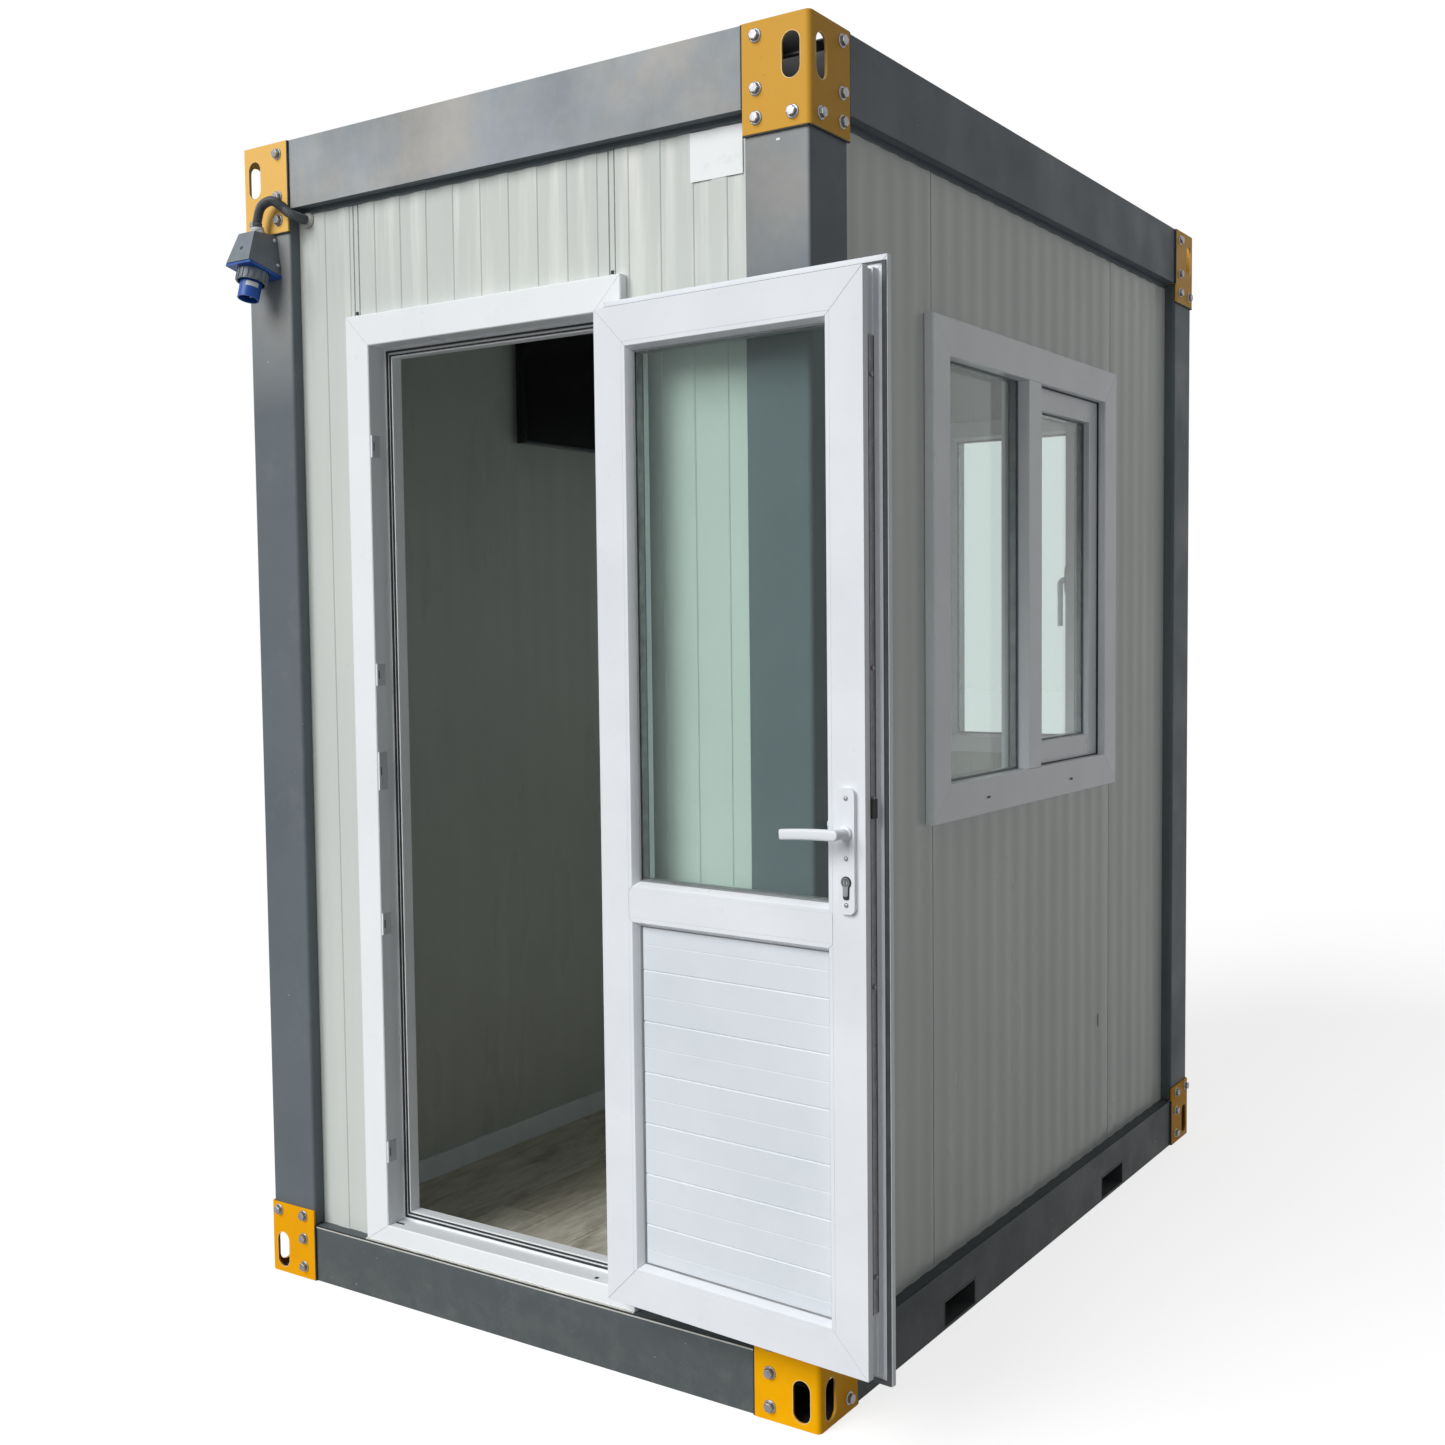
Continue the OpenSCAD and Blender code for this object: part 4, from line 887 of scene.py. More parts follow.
def leaf_frame():
    """Stiles, rails and flange of the leaf, with the fitting groove around its edge."""
    width = Leaf.high.x - Leaf.low.x
    height = Leaf.high.z - Leaf.low.z
    place = LEAF @ at((Leaf.low.x + Leaf.high.x)/2, Leaf.out_y, (Leaf.low.z + Leaf.high.z)/2)
    middle = (LEAF_DEPTH + FLANGE_T)/2
    inner, outer = middle + GROOVE_W/2, middle - GROOVE_W/2
    levels = (0, LEAF_LIP, LEAF_DEPTH, inner, outer, FLANGE_T)
    depths = [level for level in levels for _ in range(2)]

    def section(edge):
        field = edge + SASH_FACE
        sunk = edge + GROOVE_DEPTH
        return [0, field + BEAD_W, field + BEAD_W, field, field, edge, edge, sunk, sunk, edge, edge, 0]

    shape = Shape().mitred(width, height, depths, section(FLANGE_SIDE), section(FLANGE_END),
                           section(FLANGE_END), place=place)
    for y0, y1, grow in ((0, LEAF_LIP, BEAD_W), (LEAF_LIP + SLIT, LEAF_DEPTH + SLIT, 0)):
        shape.box((Leaf.x0 + grow + MITRE_GAP, Leaf.out_y + y0, Leaf.lower[1] - grow),
                  (Leaf.x1 - grow - MITRE_GAP, Leaf.out_y + y1, Leaf.upper[0] + grow), 0, LEAF)
    piece("door_leaf_bars", shape, [PLASTIC], "door", ["door_sash"], bevel=0.8*MM)
    side, head = [[a, b, b, a] for a, b in (LEAF_SEAL, HEAD_SEAL)]
    depths = [FLANGE_T, FLANGE_T, FLANGE_T + SEAL_T, FLANGE_T + SEAL_T]
    seal = Shape().mitred(width, height, depths, side, top=head, place=place)
    piece("door_leaf_seals", seal, [GASKET], "door")


def leaf_fields():
    """Glazing above, planked panel below, and the beads of both."""
    glass, fittings, bead = Shape(), Shape(), Shape()
    for field in (Leaf.lower, Leaf.upper):
        sight_h = field[1] - field[0] - 2*BEAD_W
        place = LEAF @ at((Leaf.x0 + Leaf.x1)/2, Leaf.out_y, (field[0] + field[1])/2)
        beads(bead, Leaf.sight_w, sight_h, LEAF_LIP + GLASS_T, LEAF_DEPTH, place)
        if field is Leaf.upper:
            glazing(glass, fittings, Leaf.sight_w, sight_h, LEAF_LIP, place)
        else:
            gaskets(fittings, Leaf.sight_w, sight_h, LEAF_LIP, place)
    piece("door_panes", glass, [DOOR_GLASS], "door", ["door_glass"])
    piece("door_glazing_seals", fittings, [GREY_RUBBER, SPACER], "door")
    piece("door_bead_bars", bead, [PLASTIC], "door", ["door_beads"], bevel=0.6*MM)
    piece("door_planks", planks(), [PLANK_PLASTIC], "door", ["door_infill"], sharp=8)


def planks():
    """Lower panel of tongued planks, with a deep line at each joint and a shallow one between."""
    low, high = closed_box("door_infill")
    inner = [(high.y, high.z)]
    count = int((high.z - low.z)/PLANK_PITCH) + 1
    for k in range(1, 2*count):
        z = high.z - k*PLANK_PITCH/2
        half, deep = PLANK_LINE if k % 2 else PLANK_JOINT
        if z > low.z + PLANK_END:
            inner += [(high.y, z + half), (high.y - deep, z), (high.y, z - half)]
    inner.append((high.y, low.z))
    outer = [(low.y + high.y - y, z) for y, z in reversed(inner)]
    return Shape().prism(inner + outer, low.x, high.x, "x", 0, LEAF)


# Handle, lock and hinges

SPINDLE = LEAF.inverted() @ Vector(joint("handle_turn")["pos_m"])
SPINDLE_X = SPINDLE.x
LEVER_Z = SPINDLE.z
PLATE_T = 8*MM
PLATE_DROP = 31*MM
PLATE_SCREWS = (92*MM, -13*MM, -94*MM)
PLATE_FACES = ((Leaf.in_y + PLATE_T, 1), (Leaf.out_y - PLATE_T, -1))
LEVER_LEN = 112*MM
LEVER_REACH = 37*MM
LEVER_DROOP = 5*MM
LEVER_FIT = 0.4*MM

# Stations along a lever's grip: place along it in millimetres, and shares of full thickness and height
GRIP_STATIONS = [(-10, 0.8, 0.1), (-9.7, 0.88, 0.25), (-9, 0.94, 0.44), (-7.8, 0.98, 0.63), (-6, 1, 0.8),
                 (-3.5, 1, 0.94), (0, 1, 1), (20, 1, 0.99), (40, 1, 0.98), (60, 0.99, 0.97), (80, 0.98, 0.96),
                 (100, 0.97, 0.95), (110, 0.96, 0.945), (111.4, 0.9, 0.91), (112, 0.8, 0.85)]
GRIP_HALF = (6.5*MM, 10*MM)
NECK = [(0, 0), (13, 0), (13, 3), (12, 4.6), (9.6, 5.2), (9.2, 7), (9.2, 36), (0, 36)]


def levers():
    """Both levers on their spindle, at rest: rose, round neck, and a flat grip with a blunt tip."""
    path, sections = [], []
    for x, thick, tall in GRIP_STATIONS:
        path.append((x*MM, LEVER_REACH, -LEVER_DROOP*(max(x, 0)*MM/LEVER_LEN)**2))
        sections.append(oval(GRIP_HALF[0]*thick, GRIP_HALF[1]*tall, 28, 3.6))
    shape = Shape()
    for y, sign in PLATE_FACES:
        place = LEAF @ at(SPINDLE_X, y + sign*LEVER_FIT, LEVER_Z) @ Matrix.Scale(sign, 4, (0, 1, 0))
        shape.lathe(scaled(NECK), 28, 0, place @ turned(-math.pi/2, "X"))
        shape.sweep(path, sections, (0, 0, 1), 0, place)
    piece("lever_grips", shape, [PLASTIC], "lever", ["lever_handles"], sharp=50)


# Profiles of screw heads and of the key plug, and the cylinder's outline, in millimetres
SCREW = [(0, -0.4), (4.6, -0.4), (4.6, 0.5), (3.6, 1.3), (0, 1.5)]
SCREW_SLOT = (2.6*MM, 0.45*MM)
SCREW_SLOT_Z = (1.3*MM, 1.6*MM)
DOME = [(0, -0.4), (4.4, -0.4), (4.4, 0.4), (3.9, 1.5), (2.6, 2.5), (0, 2.9)]
KEY_PLUG = [(5.2, 2.6), (6.6, 2.6), (6.6, 3.5), (5.2, 3.5)]
KEY_R = 8.4
KEY_STEM = [(5, -22), (3, -24.5), (-3, -24.5), (-5, -22)]
KEY_Z = LEVER_Z - 85*MM
KEY_SLOT = ((-1*MM, 3*MM, -4*MM), (1*MM, 3.4*MM, 4.5*MM))
# Rosette and cylinder: size, how far they stand out, and finish
KEY_PARTS = ((1.25, 1.2*MM, 1), (1, 3.2*MM, 2))
STRIP_SCREWS = 12
STRIP_SCREW_SIZE = 0.8
STRIP_END = 35*MM
STRIP_SHADE_LINE = 8.6*MM
STRIP_SHADE_HALF = 0.9*MM
STRIP_PROUD = 0.3*MM
LATCH_Z = LEVER_Z + 42*MM
LATCH = (17*MM, 7*MM, 4.5*MM)


def screw(shape, place, metal, dark):
    """Round screw head with a cross slot."""
    shape.lathe(scaled(SCREW), 18, metal, place)
    for a, b in (SCREW_SLOT, SCREW_SLOT[::-1]):
        shape.box((-a, -b, SCREW_SLOT_Z[0]), (a, b, SCREW_SLOT_Z[1]), dark, place)


def lock_details():
    """Screws and key cylinder on both handle plates, screws along the lock strip, and dark lines of painted
    shade beside it.
    """
    shape = Shape()
    turns = [math.radians(-140 + 14*k) for k in range(21)]
    keyhole = [(KEY_R*math.sin(a), KEY_R*math.cos(a)) for a in turns] + KEY_STEM
    for y, sign in PLATE_FACES:
        for dz in PLATE_SCREWS:
            spot = (SPINDLE_X, y, LEVER_Z - PLATE_DROP + dz)
            shape.lathe(scaled(DOME), 20, 2, LEAF @ facing(spot, (0, sign, 0)))
        for grow, out, metal in KEY_PARTS:
            outline = [(SPINDLE_X + x*grow*MM, KEY_Z + z*grow*MM) for x, z in keyhole]
            shape.prism(outline, y, y + sign*out, "y", metal, LEAF)
        plug = LEAF @ facing((SPINDLE_X, y, KEY_Z), (0, sign, 0))
        shape.lathe(scaled(KEY_PLUG), 24, 1, plug, loop=True)
        shape.box(*[(SPINDLE_X + a, y + sign*b, KEY_Z + c) for a, b, c in KEY_SLOT], 1, LEAF)
    strip_low, strip_high = closed_box("door_lock")
    edge, strip_y = Leaf.strip_x, Leaf.strip_y
    for k in range(STRIP_SCREWS):
        z = strip_low.z + STRIP_END + k*(strip_high.z - strip_low.z - 2*STRIP_END)/(STRIP_SCREWS - 1)
        place = LEAF @ facing((edge, strip_y, z), (-1, 0, 0)) @ Matrix.Scale(STRIP_SCREW_SIZE, 4)
        screw(shape, place, 0, 1)
    # Dark lines beside the strip: painted shade of the groove around it.
    for side in (-1, 1):
        line = strip_y + side*STRIP_SHADE_LINE
        shape.box((edge - STRIP_PROUD, line - STRIP_SHADE_HALF, strip_low.z),
                  (edge + SINK, line + STRIP_SHADE_HALF, strip_high.z), 1, LEAF)
    tall, half, out = LATCH
    shape.box((edge - out, strip_y - half, LATCH_Z - tall),
              (edge, strip_y + half, LATCH_Z + tall), 1, LEAF)
    piece("lock_details", shape, [LOCK_STEEL, RUBBER, ZINC], "door")


LUG_OUT = 3*MM
LUG_DEEP = 4*MM
HOOK_HALF = 9*MM


def strike_lugs():
    """Pale lug at the front edge of each strike plate, with a dark hook behind it."""
    low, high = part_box("strike_plates")
    levels = sorted({round(v.co.z, 4) for v in frame["nodes"]["strike_plates"].data.vertices})
    x0, x1 = high.x - SINK, high.x + LUG_OUT
    back = low.y + LUG_DEEP
    shape = Shape()
    for bottom, top in zip(levels[::2], levels[1::2]):
        middle = (bottom + top)/2
        shape.box((x0, low.y, bottom), (x1, back, top), 0)
        shape.box((x0, back, middle - HOOK_HALF), (x1, back + LUG_DEEP, middle + HOOK_HALF), 1)
    piece("strike_lugs", shape, [PLASTIC, LOCK_STEEL], bevel=0.5*MM)


def door_fittings():
    dress(["handle_plates"], PLASTIC, 1.2*MM, 3)
    dress(["hinge_frame_leaves", "hinge_sash_leaves"], PLASTIC, 0.8*MM)
    dress(["door_lock"], LOCK_STEEL)
    dress(["strike_plates"], PALE_PLASTIC, 0.4*MM)
    strike_lugs()
    levers()
    lock_details()


# Windows: the frame's node, its turn from the front in degrees, and the axis that it looks along
WINDOWS = (("side_window_frame", 90, 0), ("back_window_frame", 180, 1))
DRAIN_Z = 36*MM
DRAIN_X = (-265*MM, 220*MM)
# Hood and slot of a drain: half width, half height, outer and inner face, and count of sides
DRAIN_PARTS = ((15*MM, 4.5*MM, -1.2*MM, 0.2*MM, 28), (10*MM, 2.8*MM, -1.6*MM, -1*MM, 20))
SASH_SEAL = (4*MM, 0.2*MM)
LINING_FIT = 0.2*MM
WIN_PLATE = (30*MM, 70*MM, 8*MM)
WIN_ROOT = 3*MM
WIN_REACH = 18*MM
WIN_BEND = 12*MM
WIN_LEN = 119*MM
WIN_NECK = 8*MM
WIN_GRIP = (5.5*MM, 9*MM)
# Shares of the grip's length at its stations, and of its thickness at the last four
WIN_STATIONS = (0.15, 0.3, 0.45, 0.6, 0.75, 0.88, 0.96, 0.985, 0.996, 1.0)
WIN_TIP = (1, 0.97, 0.88, 0.7)


def window_bars(place, width, height, light_w, light_h, light_x):
    """Outer frame, mullion and the lining of the opening light."""
    depths, side = frame_section(WIN_TRIM, WIN_LIP, WIN_TRIM - BEAD_W)
    shape = Shape().mitred(width, height, depths, side, place=place)
    for y0, y1, grow in ((MULLION_BACK, WIN_LIP, 0), (WIN_LIP + SLIT, FRAME_DEPTH, BEAD_W)):
        wide, tall = MULLION_W/2 - grow, light_h/2 + grow - MITRE_GAP
        shape.box((-wide, y0, -tall), (wide, y1, tall), 0, place)
    shape.ring(light_w + 2*(BEAD_W - LINING_FIT), light_h + 2*(BEAD_W - LINING_FIT), BEAD_W - LINING_FIT,
               WIN_LIP + SLIT, FRAME_DEPTH - LINING_FIT, 0, place @ at(light_x, 0, 0))
    return shape


def window_sash(shape, light_w, light_h, place):
    """Opening sash: face, lip for the pane and the lap over the frame inside."""
    body = SASH_LAP + SASH_FIT
    inner = body + WIN_SASH_FACE
    side = [body, inner, inner, inner - BEAD_W, inner - BEAD_W, 0, 0, body]
    lip = SASH_BACK + WIN_SASH_LIP
    depths = [SASH_BACK, SASH_BACK, lip, lip, WIN_SASH_IN, WIN_SASH_IN, FRAME_DEPTH, FRAME_DEPTH]
    shape.mitred(light_w + 2*SASH_LAP, light_h + 2*SASH_LAP, depths, side, place=place)


def windows():
    sash, glass, seal, bead, handle, drain = [Shape() for _ in range(6)]
    for name, turn, axis in WINDOWS:
        low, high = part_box(name)
        middle = (low + high)/2
        middle[axis] = high[axis]
        place = Matrix.Translation(middle) @ turned(math.radians(turn), "Z")
        width = high[1 - axis] - low[1 - axis]
        height = high.z - low.z
        light_w = (width - 2*WIN_TRIM - MULLION_W)/2
        light_h = height - 2*WIN_TRIM
        light_x = (MULLION_W + light_w)/2
        bars = window_bars(place, width, height, light_w, light_h, light_x)
        piece(name + "_bars", bars, [PLASTIC], replaces=[name], bevel=0.5*MM)
        fixed = place @ at(-light_x, 0, 0)
        opening = place @ at(light_x, 0, 0)
        window_sash(sash, light_w, light_h, opening)
        pane_w = light_w - 2*SASH_FIT - 2*WIN_SASH_FACE
        pane_h = light_h - 2*SASH_FIT - 2*WIN_SASH_FACE
        sash_pane = SASH_BACK + WIN_SASH_LIP
        glazing(glass, seal, light_w, light_h, WIN_LIP, fixed)
        glazing(glass, seal, pane_w, pane_h, sash_pane, opening)
        start, end = [SASH_BACK - gap for gap in SASH_SEAL]
        seal.ring(light_w, light_h, GASKET_W, start, end, 2, opening)
        beads(bead, light_w, light_h, WIN_LIP + GLASS_T, FRAME_DEPTH, fixed)
        beads(bead, pane_w, pane_h, sash_pane + GLASS_T, WIN_SASH_IN, opening)
        stile = light_x + light_w/2 - SASH_FIT - WIN_SASH_FACE/2 + BEAD_W/2
        window_handle(handle, place @ at(stile, WIN_SASH_IN, 0))
        for x in DRAIN_X:
            drain_cap(drain, place @ at(x, 0, DRAIN_Z - height/2))
    piece("window_sash_bars", sash, [PLASTIC], replaces=["window_sashes"], bevel=0.8*MM)
    piece("window_panes", glass, [WINDOW_GLASS], replaces=["window_glass"])
    piece("window_seals", seal, [GREY_RUBBER, SPACER, RUBBER])
    piece("window_bead_bars", bead, [PLASTIC], replaces=["window_beads"], bevel=0.6*MM)
    piece("window_grips", handle, [PALE_PLASTIC], replaces=["window_handles"], sharp=50)
    piece("window_drains", drain, [PLASTIC, RUBBER])


def window_handle(shape, place):
    """Base plate, and a grip that points down: a round neck, a bend, and a flat bar with a rounded tip."""
    wide, tall, thick = WIN_PLATE
    shape.prism(oval(wide/2, tall/2, 40, 5), 0, thick, "y", 0, place)
    bends = [math.pi/2*k/8 for k in range(9)]
    path = [(0, 0, 0), (0, WIN_ROOT, 0)]
    path += [(WIN_BEND - WIN_BEND*math.cos(a), WIN_REACH - WIN_BEND + WIN_BEND*math.sin(a), 0) for a in bends]
    path += [(WIN_BEND + (WIN_LEN - WIN_BEND)*t, WIN_REACH, 0) for t in WIN_STATIONS]
    eases = [1]*(len(path) - len(WIN_TIP)) + list(WIN_TIP)
    sections = []
    for point, ease in zip(path, eases):
        t = min(1, max(0, point[0]/(0.35*WIN_LEN)))
        across, up = [(WIN_NECK + (half - WIN_NECK)*t)*ease for half in WIN_GRIP]
        sections.append(oval(across, up, 24, 2 + 0.8*t))
    shape.sweep(path, sections, (0, 0, 1), 0, place @ turned(math.pi/2, "Y") @ at(0, thick - SINK, 0))


def drain_cap(shape, place):
    """Small hooded slot that lets water out of the frame."""
    for slot, (half_w, half_h, start, end, sides) in enumerate(DRAIN_PARTS):
        shape.prism(oval(half_w, half_h, sides, 3), start, end, "y", slot, place)


# Inside: floor, skirting and screen

BOARD_W = 146*MM
BOARD_LEN = 1210*MM
BOARD_T = 4*MM
BOARD_GAP = 1.2*MM
BOARD_BED = 0.2*MM
BOARD_STEP = 0.37
SCREEN_RIM = 9*MM
SCREEN_CHIN = 16*MM
SCREEN_PROUD = 0.5*MM
SCREEN_STRIP = (1.2*MM, 5*MM)


def floor():
    low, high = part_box("floor_deck")
    shape = Shape().box(low, (high.x, high.y, high.z - BOARD_T - BOARD_BED), tone=0.5)
    row = 0
    x = low.x
    while x < high.x:
        end_x = min(x + BOARD_W, high.x)
        y = low.y - (row*BOARD_STEP % 1)*BOARD_LEN
        while y < high.y:
            start, end = max(y, low.y), min(y + BOARD_LEN, high.y)
            if end - start > 5*BOARD_GAP:
                shape.box((x, start, high.z - BOARD_T), (end_x - BOARD_GAP, end - BOARD_GAP, high.z),
                          tone=dice.random())
            y += BOARD_LEN
        x += BOARD_W
        row += 1
    piece("floor_boards_laid", shape, [BOARDS], replaces=["floor_deck"], bevel=0.6*MM)
    dress(["skirting"], SKIRTING, 1.5*MM)


def screen():
    low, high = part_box("wall_screen")
    dress(["wall_screen"], SCREEN, 2*MM)
    back = high.x - SINK
    out, tall = SCREEN_STRIP
    face = Shape()
    face.box((back, low.y + SCREEN_RIM, low.z + SCREEN_CHIN),
             (high.x + SCREEN_PROUD, high.y - SCREEN_RIM, high.z - SCREEN_RIM), 0)
    face.box((back, low.y + SINK, low.z + SINK), (high.x + out, high.y - SINK, low.z + tall), 1)
    piece("screen_face", face, [SCREEN, DARK_PLASTIC], bevel=0.4*MM)


# Power inlet and conduit

INLET_FOOT = Vector((-675*MM, -1070*MM, 2304*MM))
INLET_D = 91*MM
INLET_TOP_D = 63*MM
INLET_H = 92*MM
INLET_HALF = 37*MM
INLET_TOP_HALF = 26*MM
INLET_TILT = math.radians(15)
PLUG = (Matrix.Translation(INLET_FOOT + Vector((0, -INLET_D/2, INLET_D/2*math.tan(INLET_TILT))))
        @ turned(math.pi - INLET_TILT, "X"))
INLET_SCREWS = (24*MM, 80*MM)
INLET_SCREW_IN = 8*MM
INLET_SCREW_NORMAL = (1, 0, 0.12)
# Ribs of the collar, as two corners of one, and profiles of pins, nut and cap, in millimetres
COLLAR_RIBS = 18
COLLAR_RIB = ((33*MM, -2.6*MM, 8*MM), (35.6*MM, 2.6*MM, 30*MM))
PIN_CIRCLE = 12*MM
PIN = [(0, 14), (2.7, 14), (2.7, 59.5), (1.9, 60.5), (0, 60.5)]
GLAND_NUT = [(0, 0.2), (17, 0.2), (17, 8), (15, 9), (0, 9)]
GLAND_CAP = [(0, 9), (15, 9), (14.6, 14), (12, 16.5), (0, 16.5)]
SLEEVE_R = 24*MM
LABEL_RISE = (-0.5*MM, 0.4*MM)
LABEL_Z = (35*MM, 46*MM)
LABEL_TURN = (-4, 66)
# Small dark window on the sloping front, and how far up it sits
FRONT_WINDOW = ((-4.5*MM, -4*MM, -0.6*MM), (4.5*MM, 4*MM, 0.35*MM))
FRONT_WINDOW_UP = 0.45
# Dark seam under the housing: its overhang at the sides and front, its set-back behind, and its depths
FOOT_SEAM = (1*MM, 0.4*MM, 3*MM)
FOOT_SEAM_Z = (-1.6*MM, 0.2*MM)


def inlet():
    dress(["inlet_housing"], HOUSING_PLASTIC, 2*MM, 3)
    dress(["inlet_plug"], BLUE_PLASTIC, 1*MM)
    shape = Shape()
    for k in range(COLLAR_RIBS):
        shape.box(*COLLAR_RIB, 0, PLUG @ turned(2*math.pi*k/COLLAR_RIBS, "Z"))
    for k in range(3):
        shape.lathe(scaled(PIN), 14, 2, PLUG @ turned(2*math.pi*k/3, "Z") @ at(PIN_CIRCLE, 0, 0))
    turns = [math.radians(LABEL_TURN[0] + (LABEL_TURN[1] - LABEL_TURN[0])*k/12) for k in range(13)]
    under, over = [SLEEVE_R + rise for rise in LABEL_RISE]
    arc = [(under, a) for a in turns] + [(over, a) for a in reversed(turns)]
    shape.prism([(r*math.cos(a), r*math.sin(a)) for r, a in arc], *LABEL_Z, "z", 2, PLUG)
    gland = Matrix.Translation(INLET_FOOT + Vector((0, -INLET_TOP_D/2, INLET_H)))
    shape.lathe(scaled(GLAND_NUT), 6, 2, gland)
    shape.lathe(scaled(GLAND_CAP), 28, 2, gland)
    foot_rise = INLET_D*math.tan(INLET_TILT)
    for z in INLET_SCREWS:
        half = INLET_HALF - (INLET_HALF - INLET_TOP_HALF)*max(0, z - foot_rise)/(INLET_H - foot_rise)
        spot = INLET_FOOT + Vector((half, -INLET_SCREW_IN, z))
        shape.lathe(scaled(DOME), 18, 2, facing(spot, INLET_SCREW_NORMAL))
    slope = Vector((0, INLET_D - INLET_TOP_D, INLET_H - foot_rise))
    window = INLET_FOOT + Vector((0, -INLET_D, foot_rise)) + FRONT_WINDOW_UP*slope
    shape.box(*FRONT_WINDOW, 3, facing(window, Vector((0, -slope.z, slope.y))))
    half_d = INLET_D/math.cos(INLET_TILT)/2
    side, front, back = FOOT_SEAM
    shape.box((-INLET_HALF - side, -half_d - front, FOOT_SEAM_Z[0]),
              (INLET_HALF + side, half_d - back, FOOT_SEAM_Z[1]), 3, PLUG)
    piece("inlet_details", shape, [HOUSING_PLASTIC, ZINC, PALE_PLASTIC, RUBBER], bevel=0.4*MM)


# Route of the conduit, in millimetres, from the gland over the bracket to the wall
CONDUIT_ROUTE = [(-675, -1101.5, 2412), (-675, -1101.5, 2418), (-675, -1101.5, 2426), (-661, -1101.5, 2456),
                 (-633, -1096.75, 2466), (-607, -1092, 2452), (-583, -1086, 2432), (-577, -1054, 2426),
                 (-577, -1048, 2426), (-577, -1042, 2426)]
CONDUIT_R = 11*MM
RIDGE_PITCH = 3.2*MM
RIDGE_DEPTH = 1.5*MM
RIDGE_STEPS = 4
CURVE_STEPS = 40
# Sealant where the conduit meets the wall: distance from the wall and radius, in millimetres
LUMP = ((-1, 15), (1.5, 16), (4, 14), (7.5, 11.5))
LUMP_SIDES = 20


def smooth_line(points, step):
    """Points at even steps along a smooth line through the given points."""
    dense = []
    for i in range(len(points) - 1):
        a, b = points[max(i - 1, 0)], points[i]
        c, d = points[i + 1], points[min(i + 2, len(points) - 1)]
        for k in range(CURVE_STEPS):
            t = k/CURVE_STEPS
            dense.append(0.5*(2*b + (c - a)*t + (2*a - 5*b + 4*c - d)*t*t + (3*b - a - 3*c + d)*t*t*t))
    dense.append(points[-1])
    even = [dense[0]]
    left = step
    for start, end in zip(dense, dense[1:]):
        length = (end - start).length
        while length > 0 and left <= length:
            even.append(start.lerp(end, left/length))
            left += step
        left -= length
    return even


def conduit():
    points = [Vector(p)*MM for p in CONDUIT_ROUTE]
    line = smooth_line(points, RIDGE_PITCH/RIDGE_STEPS)
    sections = []
    for i in range(len(line)):
        wave = 0.5 + 0.5*math.cos(2*math.pi*i/RIDGE_STEPS)
        radius = CONDUIT_R - RIDGE_DEPTH*(1 - wave)
        sections.append(oval(radius, radius, 18, 2))
    shape = Shape().sweep(line, sections, (0, 1, 0))
    piece("conduit_tube", shape, [CONDUIT_GREY], replaces=["conduit"], sharp=80)
    sway = [1 + 0.3*dice.random() for _ in range(LUMP_SIDES)]
    rings = []
    for out, radius in LUMP:
        turns = [(radius*sway[k], 2*math.pi*k/LUMP_SIDES) for k in range(LUMP_SIDES)]
        rings.append([points[-1] + Vector((r*math.cos(a), -out, r*math.sin(a)))*MM for r, a in turns])
    piece("conduit_sealant", Shape().loft(rings), [SEALANT], sharp=60)


# Small things on the front

SHEET_X = (467*MM, 585*MM)
SHEET_Z = (2345*MM, 2436*MM)
SHEET_T = 0.3*MM
SHEET_LIFT = 0.5*MM
SHEET_WAVE = 0.35*MM
SHEET_COLUMNS = 24
SEALANT_STEPS = 160
SEALANT_HALF = (2.2*MM, 1.6*MM)
SEALANT_PLACE = Vector((0, -0.6*MM, 0.4*MM))
# Painted highlight and painted shade lines along the sill's upper edge: depths of their lower and upper side,
# how far they stand out, finish
SILL_PAINTED_LINES = ((5*MM, 2*MM, 0.6*MM, 0), (2*MM, 0, 0.4*MM, 1))

# Small marks: middle and half size of a thin box in millimetres, and its finish
MARKS = [((679, -1070, 2384), (4, 0.3, 2), 0), ((204, -1047, 173), (4, 4, 0.8), 1),
         ((-362, -1039, 173), (12, 3, 0.4), 1), ((-428, -1042, 2203), (3, 1.5, 3), 1),
         ((278, -1042, 2203), (3, 1.5, 3), 1), ((717, 430, 466), (0.4, 1.5, 17), 1)]


def blank_sheet():
    """Bare sheet on the panel beside the right post, a little wavy."""
    wall_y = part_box("front_wall_right")[0].y
    low, high = SHEET_Z
    rings = []
    for k in range(SHEET_COLUMNS + 1):
        t = k/SHEET_COLUMNS
        x = SHEET_X[0] + (SHEET_X[1] - SHEET_X[0])*t
        front = wall_y - (SHEET_LIFT + SHEET_WAVE*(1 + math.sin(9*t + 1)))
        back = front + SHEET_T
        rings.append([(x, front, low), (x, front, high), (x, back, high), (x, back, low)])
    piece("blank_sheet", Shape().loft(rings), [PAPER], sharp=60)


def threshold_sealant():
    """Uneven line of sealant between threshold and sill."""
    low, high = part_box("door_frame")
    line, sections = [], []
    for k in range(SEALANT_STEPS + 1):
        x = low.x + (high.x - low.x)*k/SEALANT_STEPS
        size = SEALANT_HALF[0] + SEALANT_HALF[1]*dice.random()
        line.append(Vector((x, low.y, low.z)) + SEALANT_PLACE)
        sections.append(oval(size, 0.8*size, 8, 2))
    shape = Shape().sweep(line, sections, (0, 0, 1))
    piece("threshold_sealant", shape, [SEALANT], sharp=80)


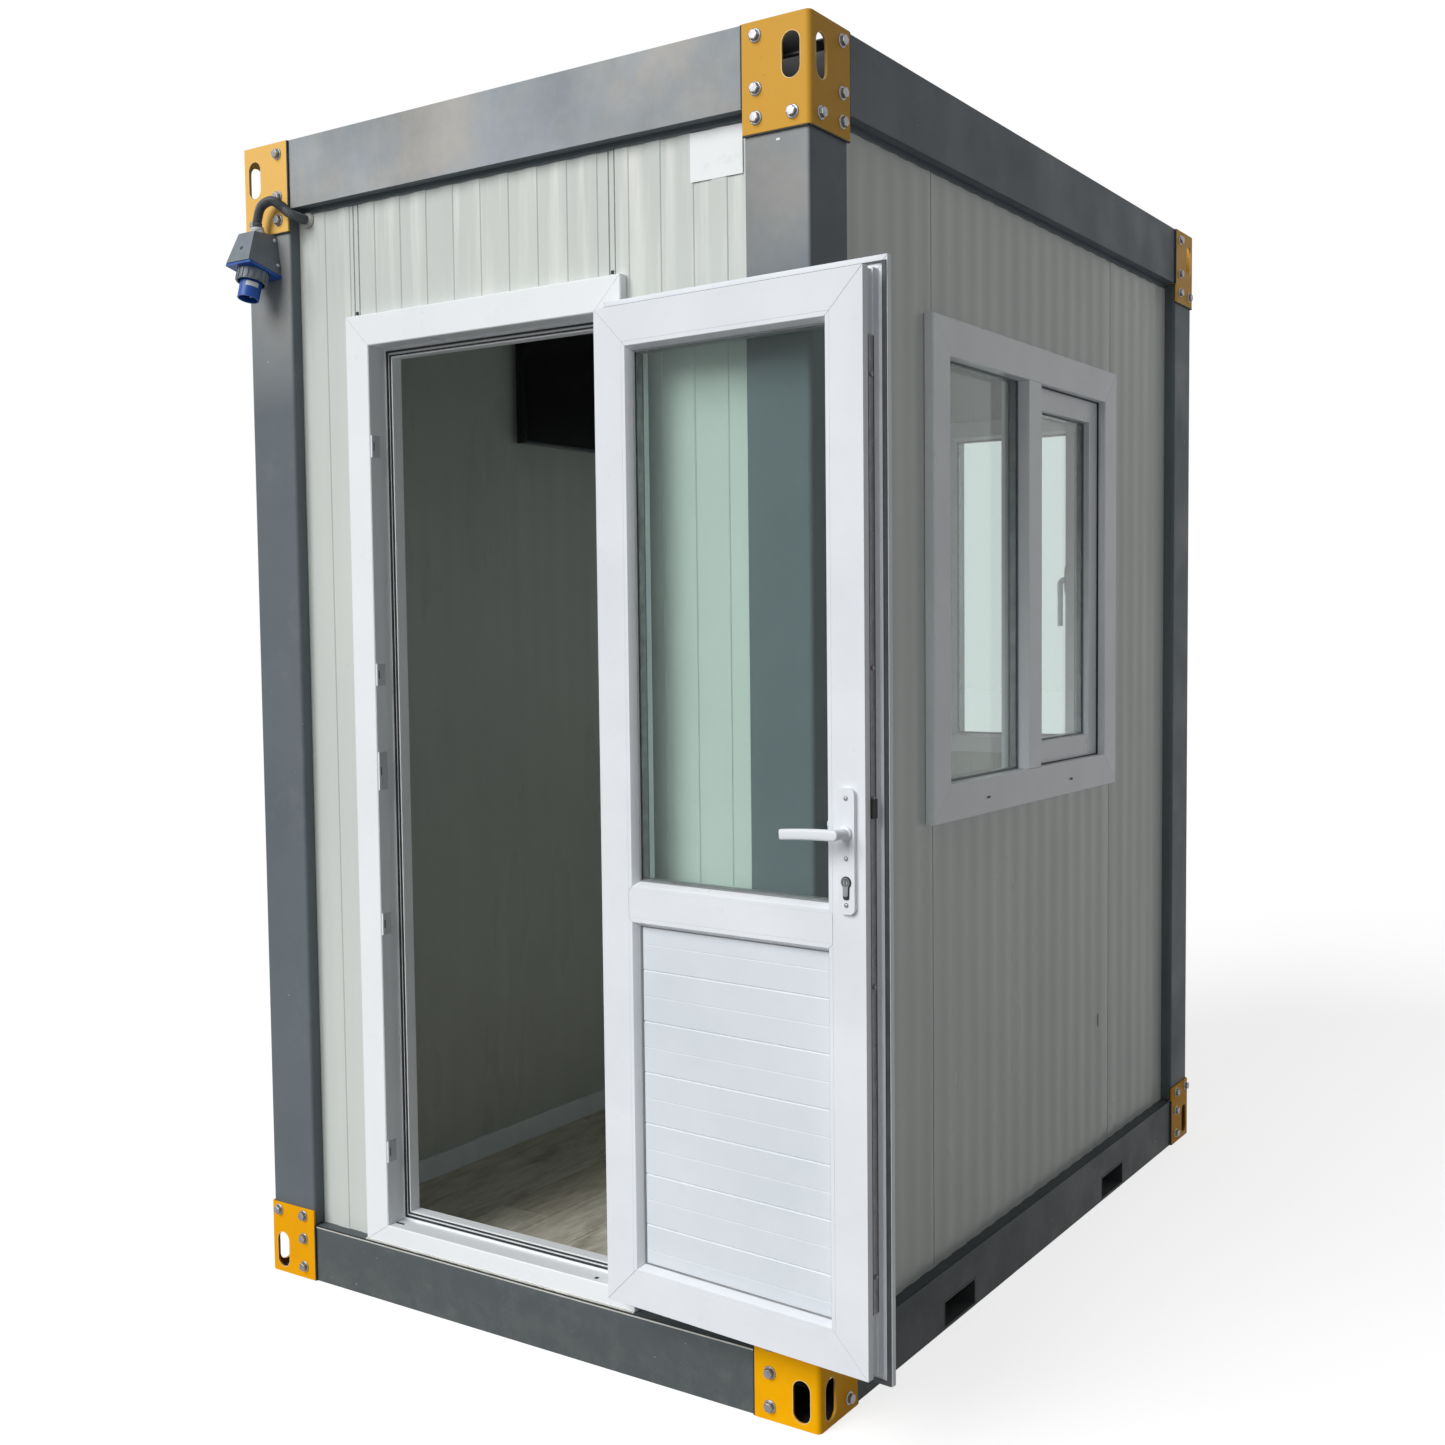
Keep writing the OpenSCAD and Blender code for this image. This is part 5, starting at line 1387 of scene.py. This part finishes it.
def sill_light_and_shade_lines():
    """Pale line of painted highlight along the front sill's upper edge, with a dark line of painted shade
    between it and what stands on it.
    """
    low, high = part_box("front_sill")
    shape = Shape()
    for bottom, top, out, slot in SILL_PAINTED_LINES:
        shape.box((low.x + SINK, low.y - out, high.z - bottom),
                  (high.x - SINK, low.y + SINK, high.z - top), slot)
    piece("sill_light_and_shade_lines", shape, [SEALANT, RUBBER], bevel=0.2*MM)


def small_marks():
    """A paint chip, screws, a drain slot in the threshold and a scratch."""
    shape = Shape()
    for middle, half, slot in MARKS:
        low, high = Vector(middle) - Vector(half), Vector(middle) + Vector(half)
        shape.box(low*MM, high*MM, slot)
    piece("small_marks", shape, [PAPER, RUBBER], bevel=0.2*MM)


# Camera, light and floor

CAMERA_PLACE = Vector((2.25472, -3.63152, 1.50927))
CAMERA_LOOK = Vector((-0.55420, 0.83027, -0.05920))
CAMERA_RIGHT = Vector((0.83204, 0.55461, -0.01077))
CAMERA_LENS = 40.73
CAMERA_SENSOR = 36
SUN_FROM = Vector((-0.27, -0.79, 0.55))
SUN_STRENGTH = 2.7
SUN_ANGLE = math.radians(42)
WHITE = (1, 1, 1, 1)
AMBIENT = 0.18
FLOOR_SIZE = 60.0
FLOOR_GLOW = 0.78


def camera():
    data = bpy.data.cameras.new("photo_camera")
    data.lens = CAMERA_LENS
    data.sensor_width = CAMERA_SENSOR
    look = CAMERA_LOOK.normalized()
    right = (CAMERA_RIGHT - CAMERA_RIGHT.dot(look)*look).normalized()
    turn = Matrix((right, right.cross(look), -look)).transposed().to_4x4()
    obj = add("photo_camera", data)
    obj.matrix_world = Matrix.Translation(CAMERA_PLACE) @ turn
    bpy.context.scene.camera = obj


def world():
    made = bpy.data.worlds.new("studio")
    graph = Graph(made)
    back = graph.tree.nodes["Background"]
    back.inputs["Color"].default_value = WHITE
    graph.feed(back.inputs["Strength"], graph.span(graph.seen(), 0, 1, AMBIENT, 1.0))
    bpy.context.scene.world = made


def lights():
    data = bpy.data.lights.new("soft_sun", "SUN")
    data.energy = SUN_STRENGTH
    data.angle = SUN_ANGLE
    add("soft_sun", data).rotation_euler = SUN_FROM.to_track_quat("Z", "Y").to_euler()


def ground():
    """Pale floor that keeps the shadow and fades into the white background."""
    f = Finish("pale_floor", Specular_IOR_Level=0.0, Roughness=0.9, Emission_Color=WHITE)
    shades = [(grey, grey, grey, 1) for grey in (0.355, 0.375)]
    f.colour(f.mix(f.clouds(0.6, 3, 0.55, 0.3, 0.7), *shades))
    f.feed(f.shader.inputs["Emission Strength"], f.span(f.seen(), 0, 1, 0, FLOOR_GLOW))
    mesh = bpy.data.meshes.new("studio_floor")
    half = FLOOR_SIZE/2
    corners = [(-half, -half, 0), (half, -half, 0), (half, half, 0), (-half, half, 0)]
    mesh.from_pydata(corners, [], [(0, 1, 2, 3)])
    mesh.materials.append(f.material)
    obj = add("studio_floor", mesh)


for build in (steel_frame, bolts, slot_edges, walls, wall_trims, bracket_shade_lines, corner_plates, door_frame,
              leaf_frame, leaf_fields, door_fittings, windows, floor, screen, inlet, conduit, blank_sheet,
              threshold_sealant, sill_light_and_shade_lines, small_marks, camera, world, lights, ground):
    build()
bpy.context.scene.view_settings.view_transform = "Standard"
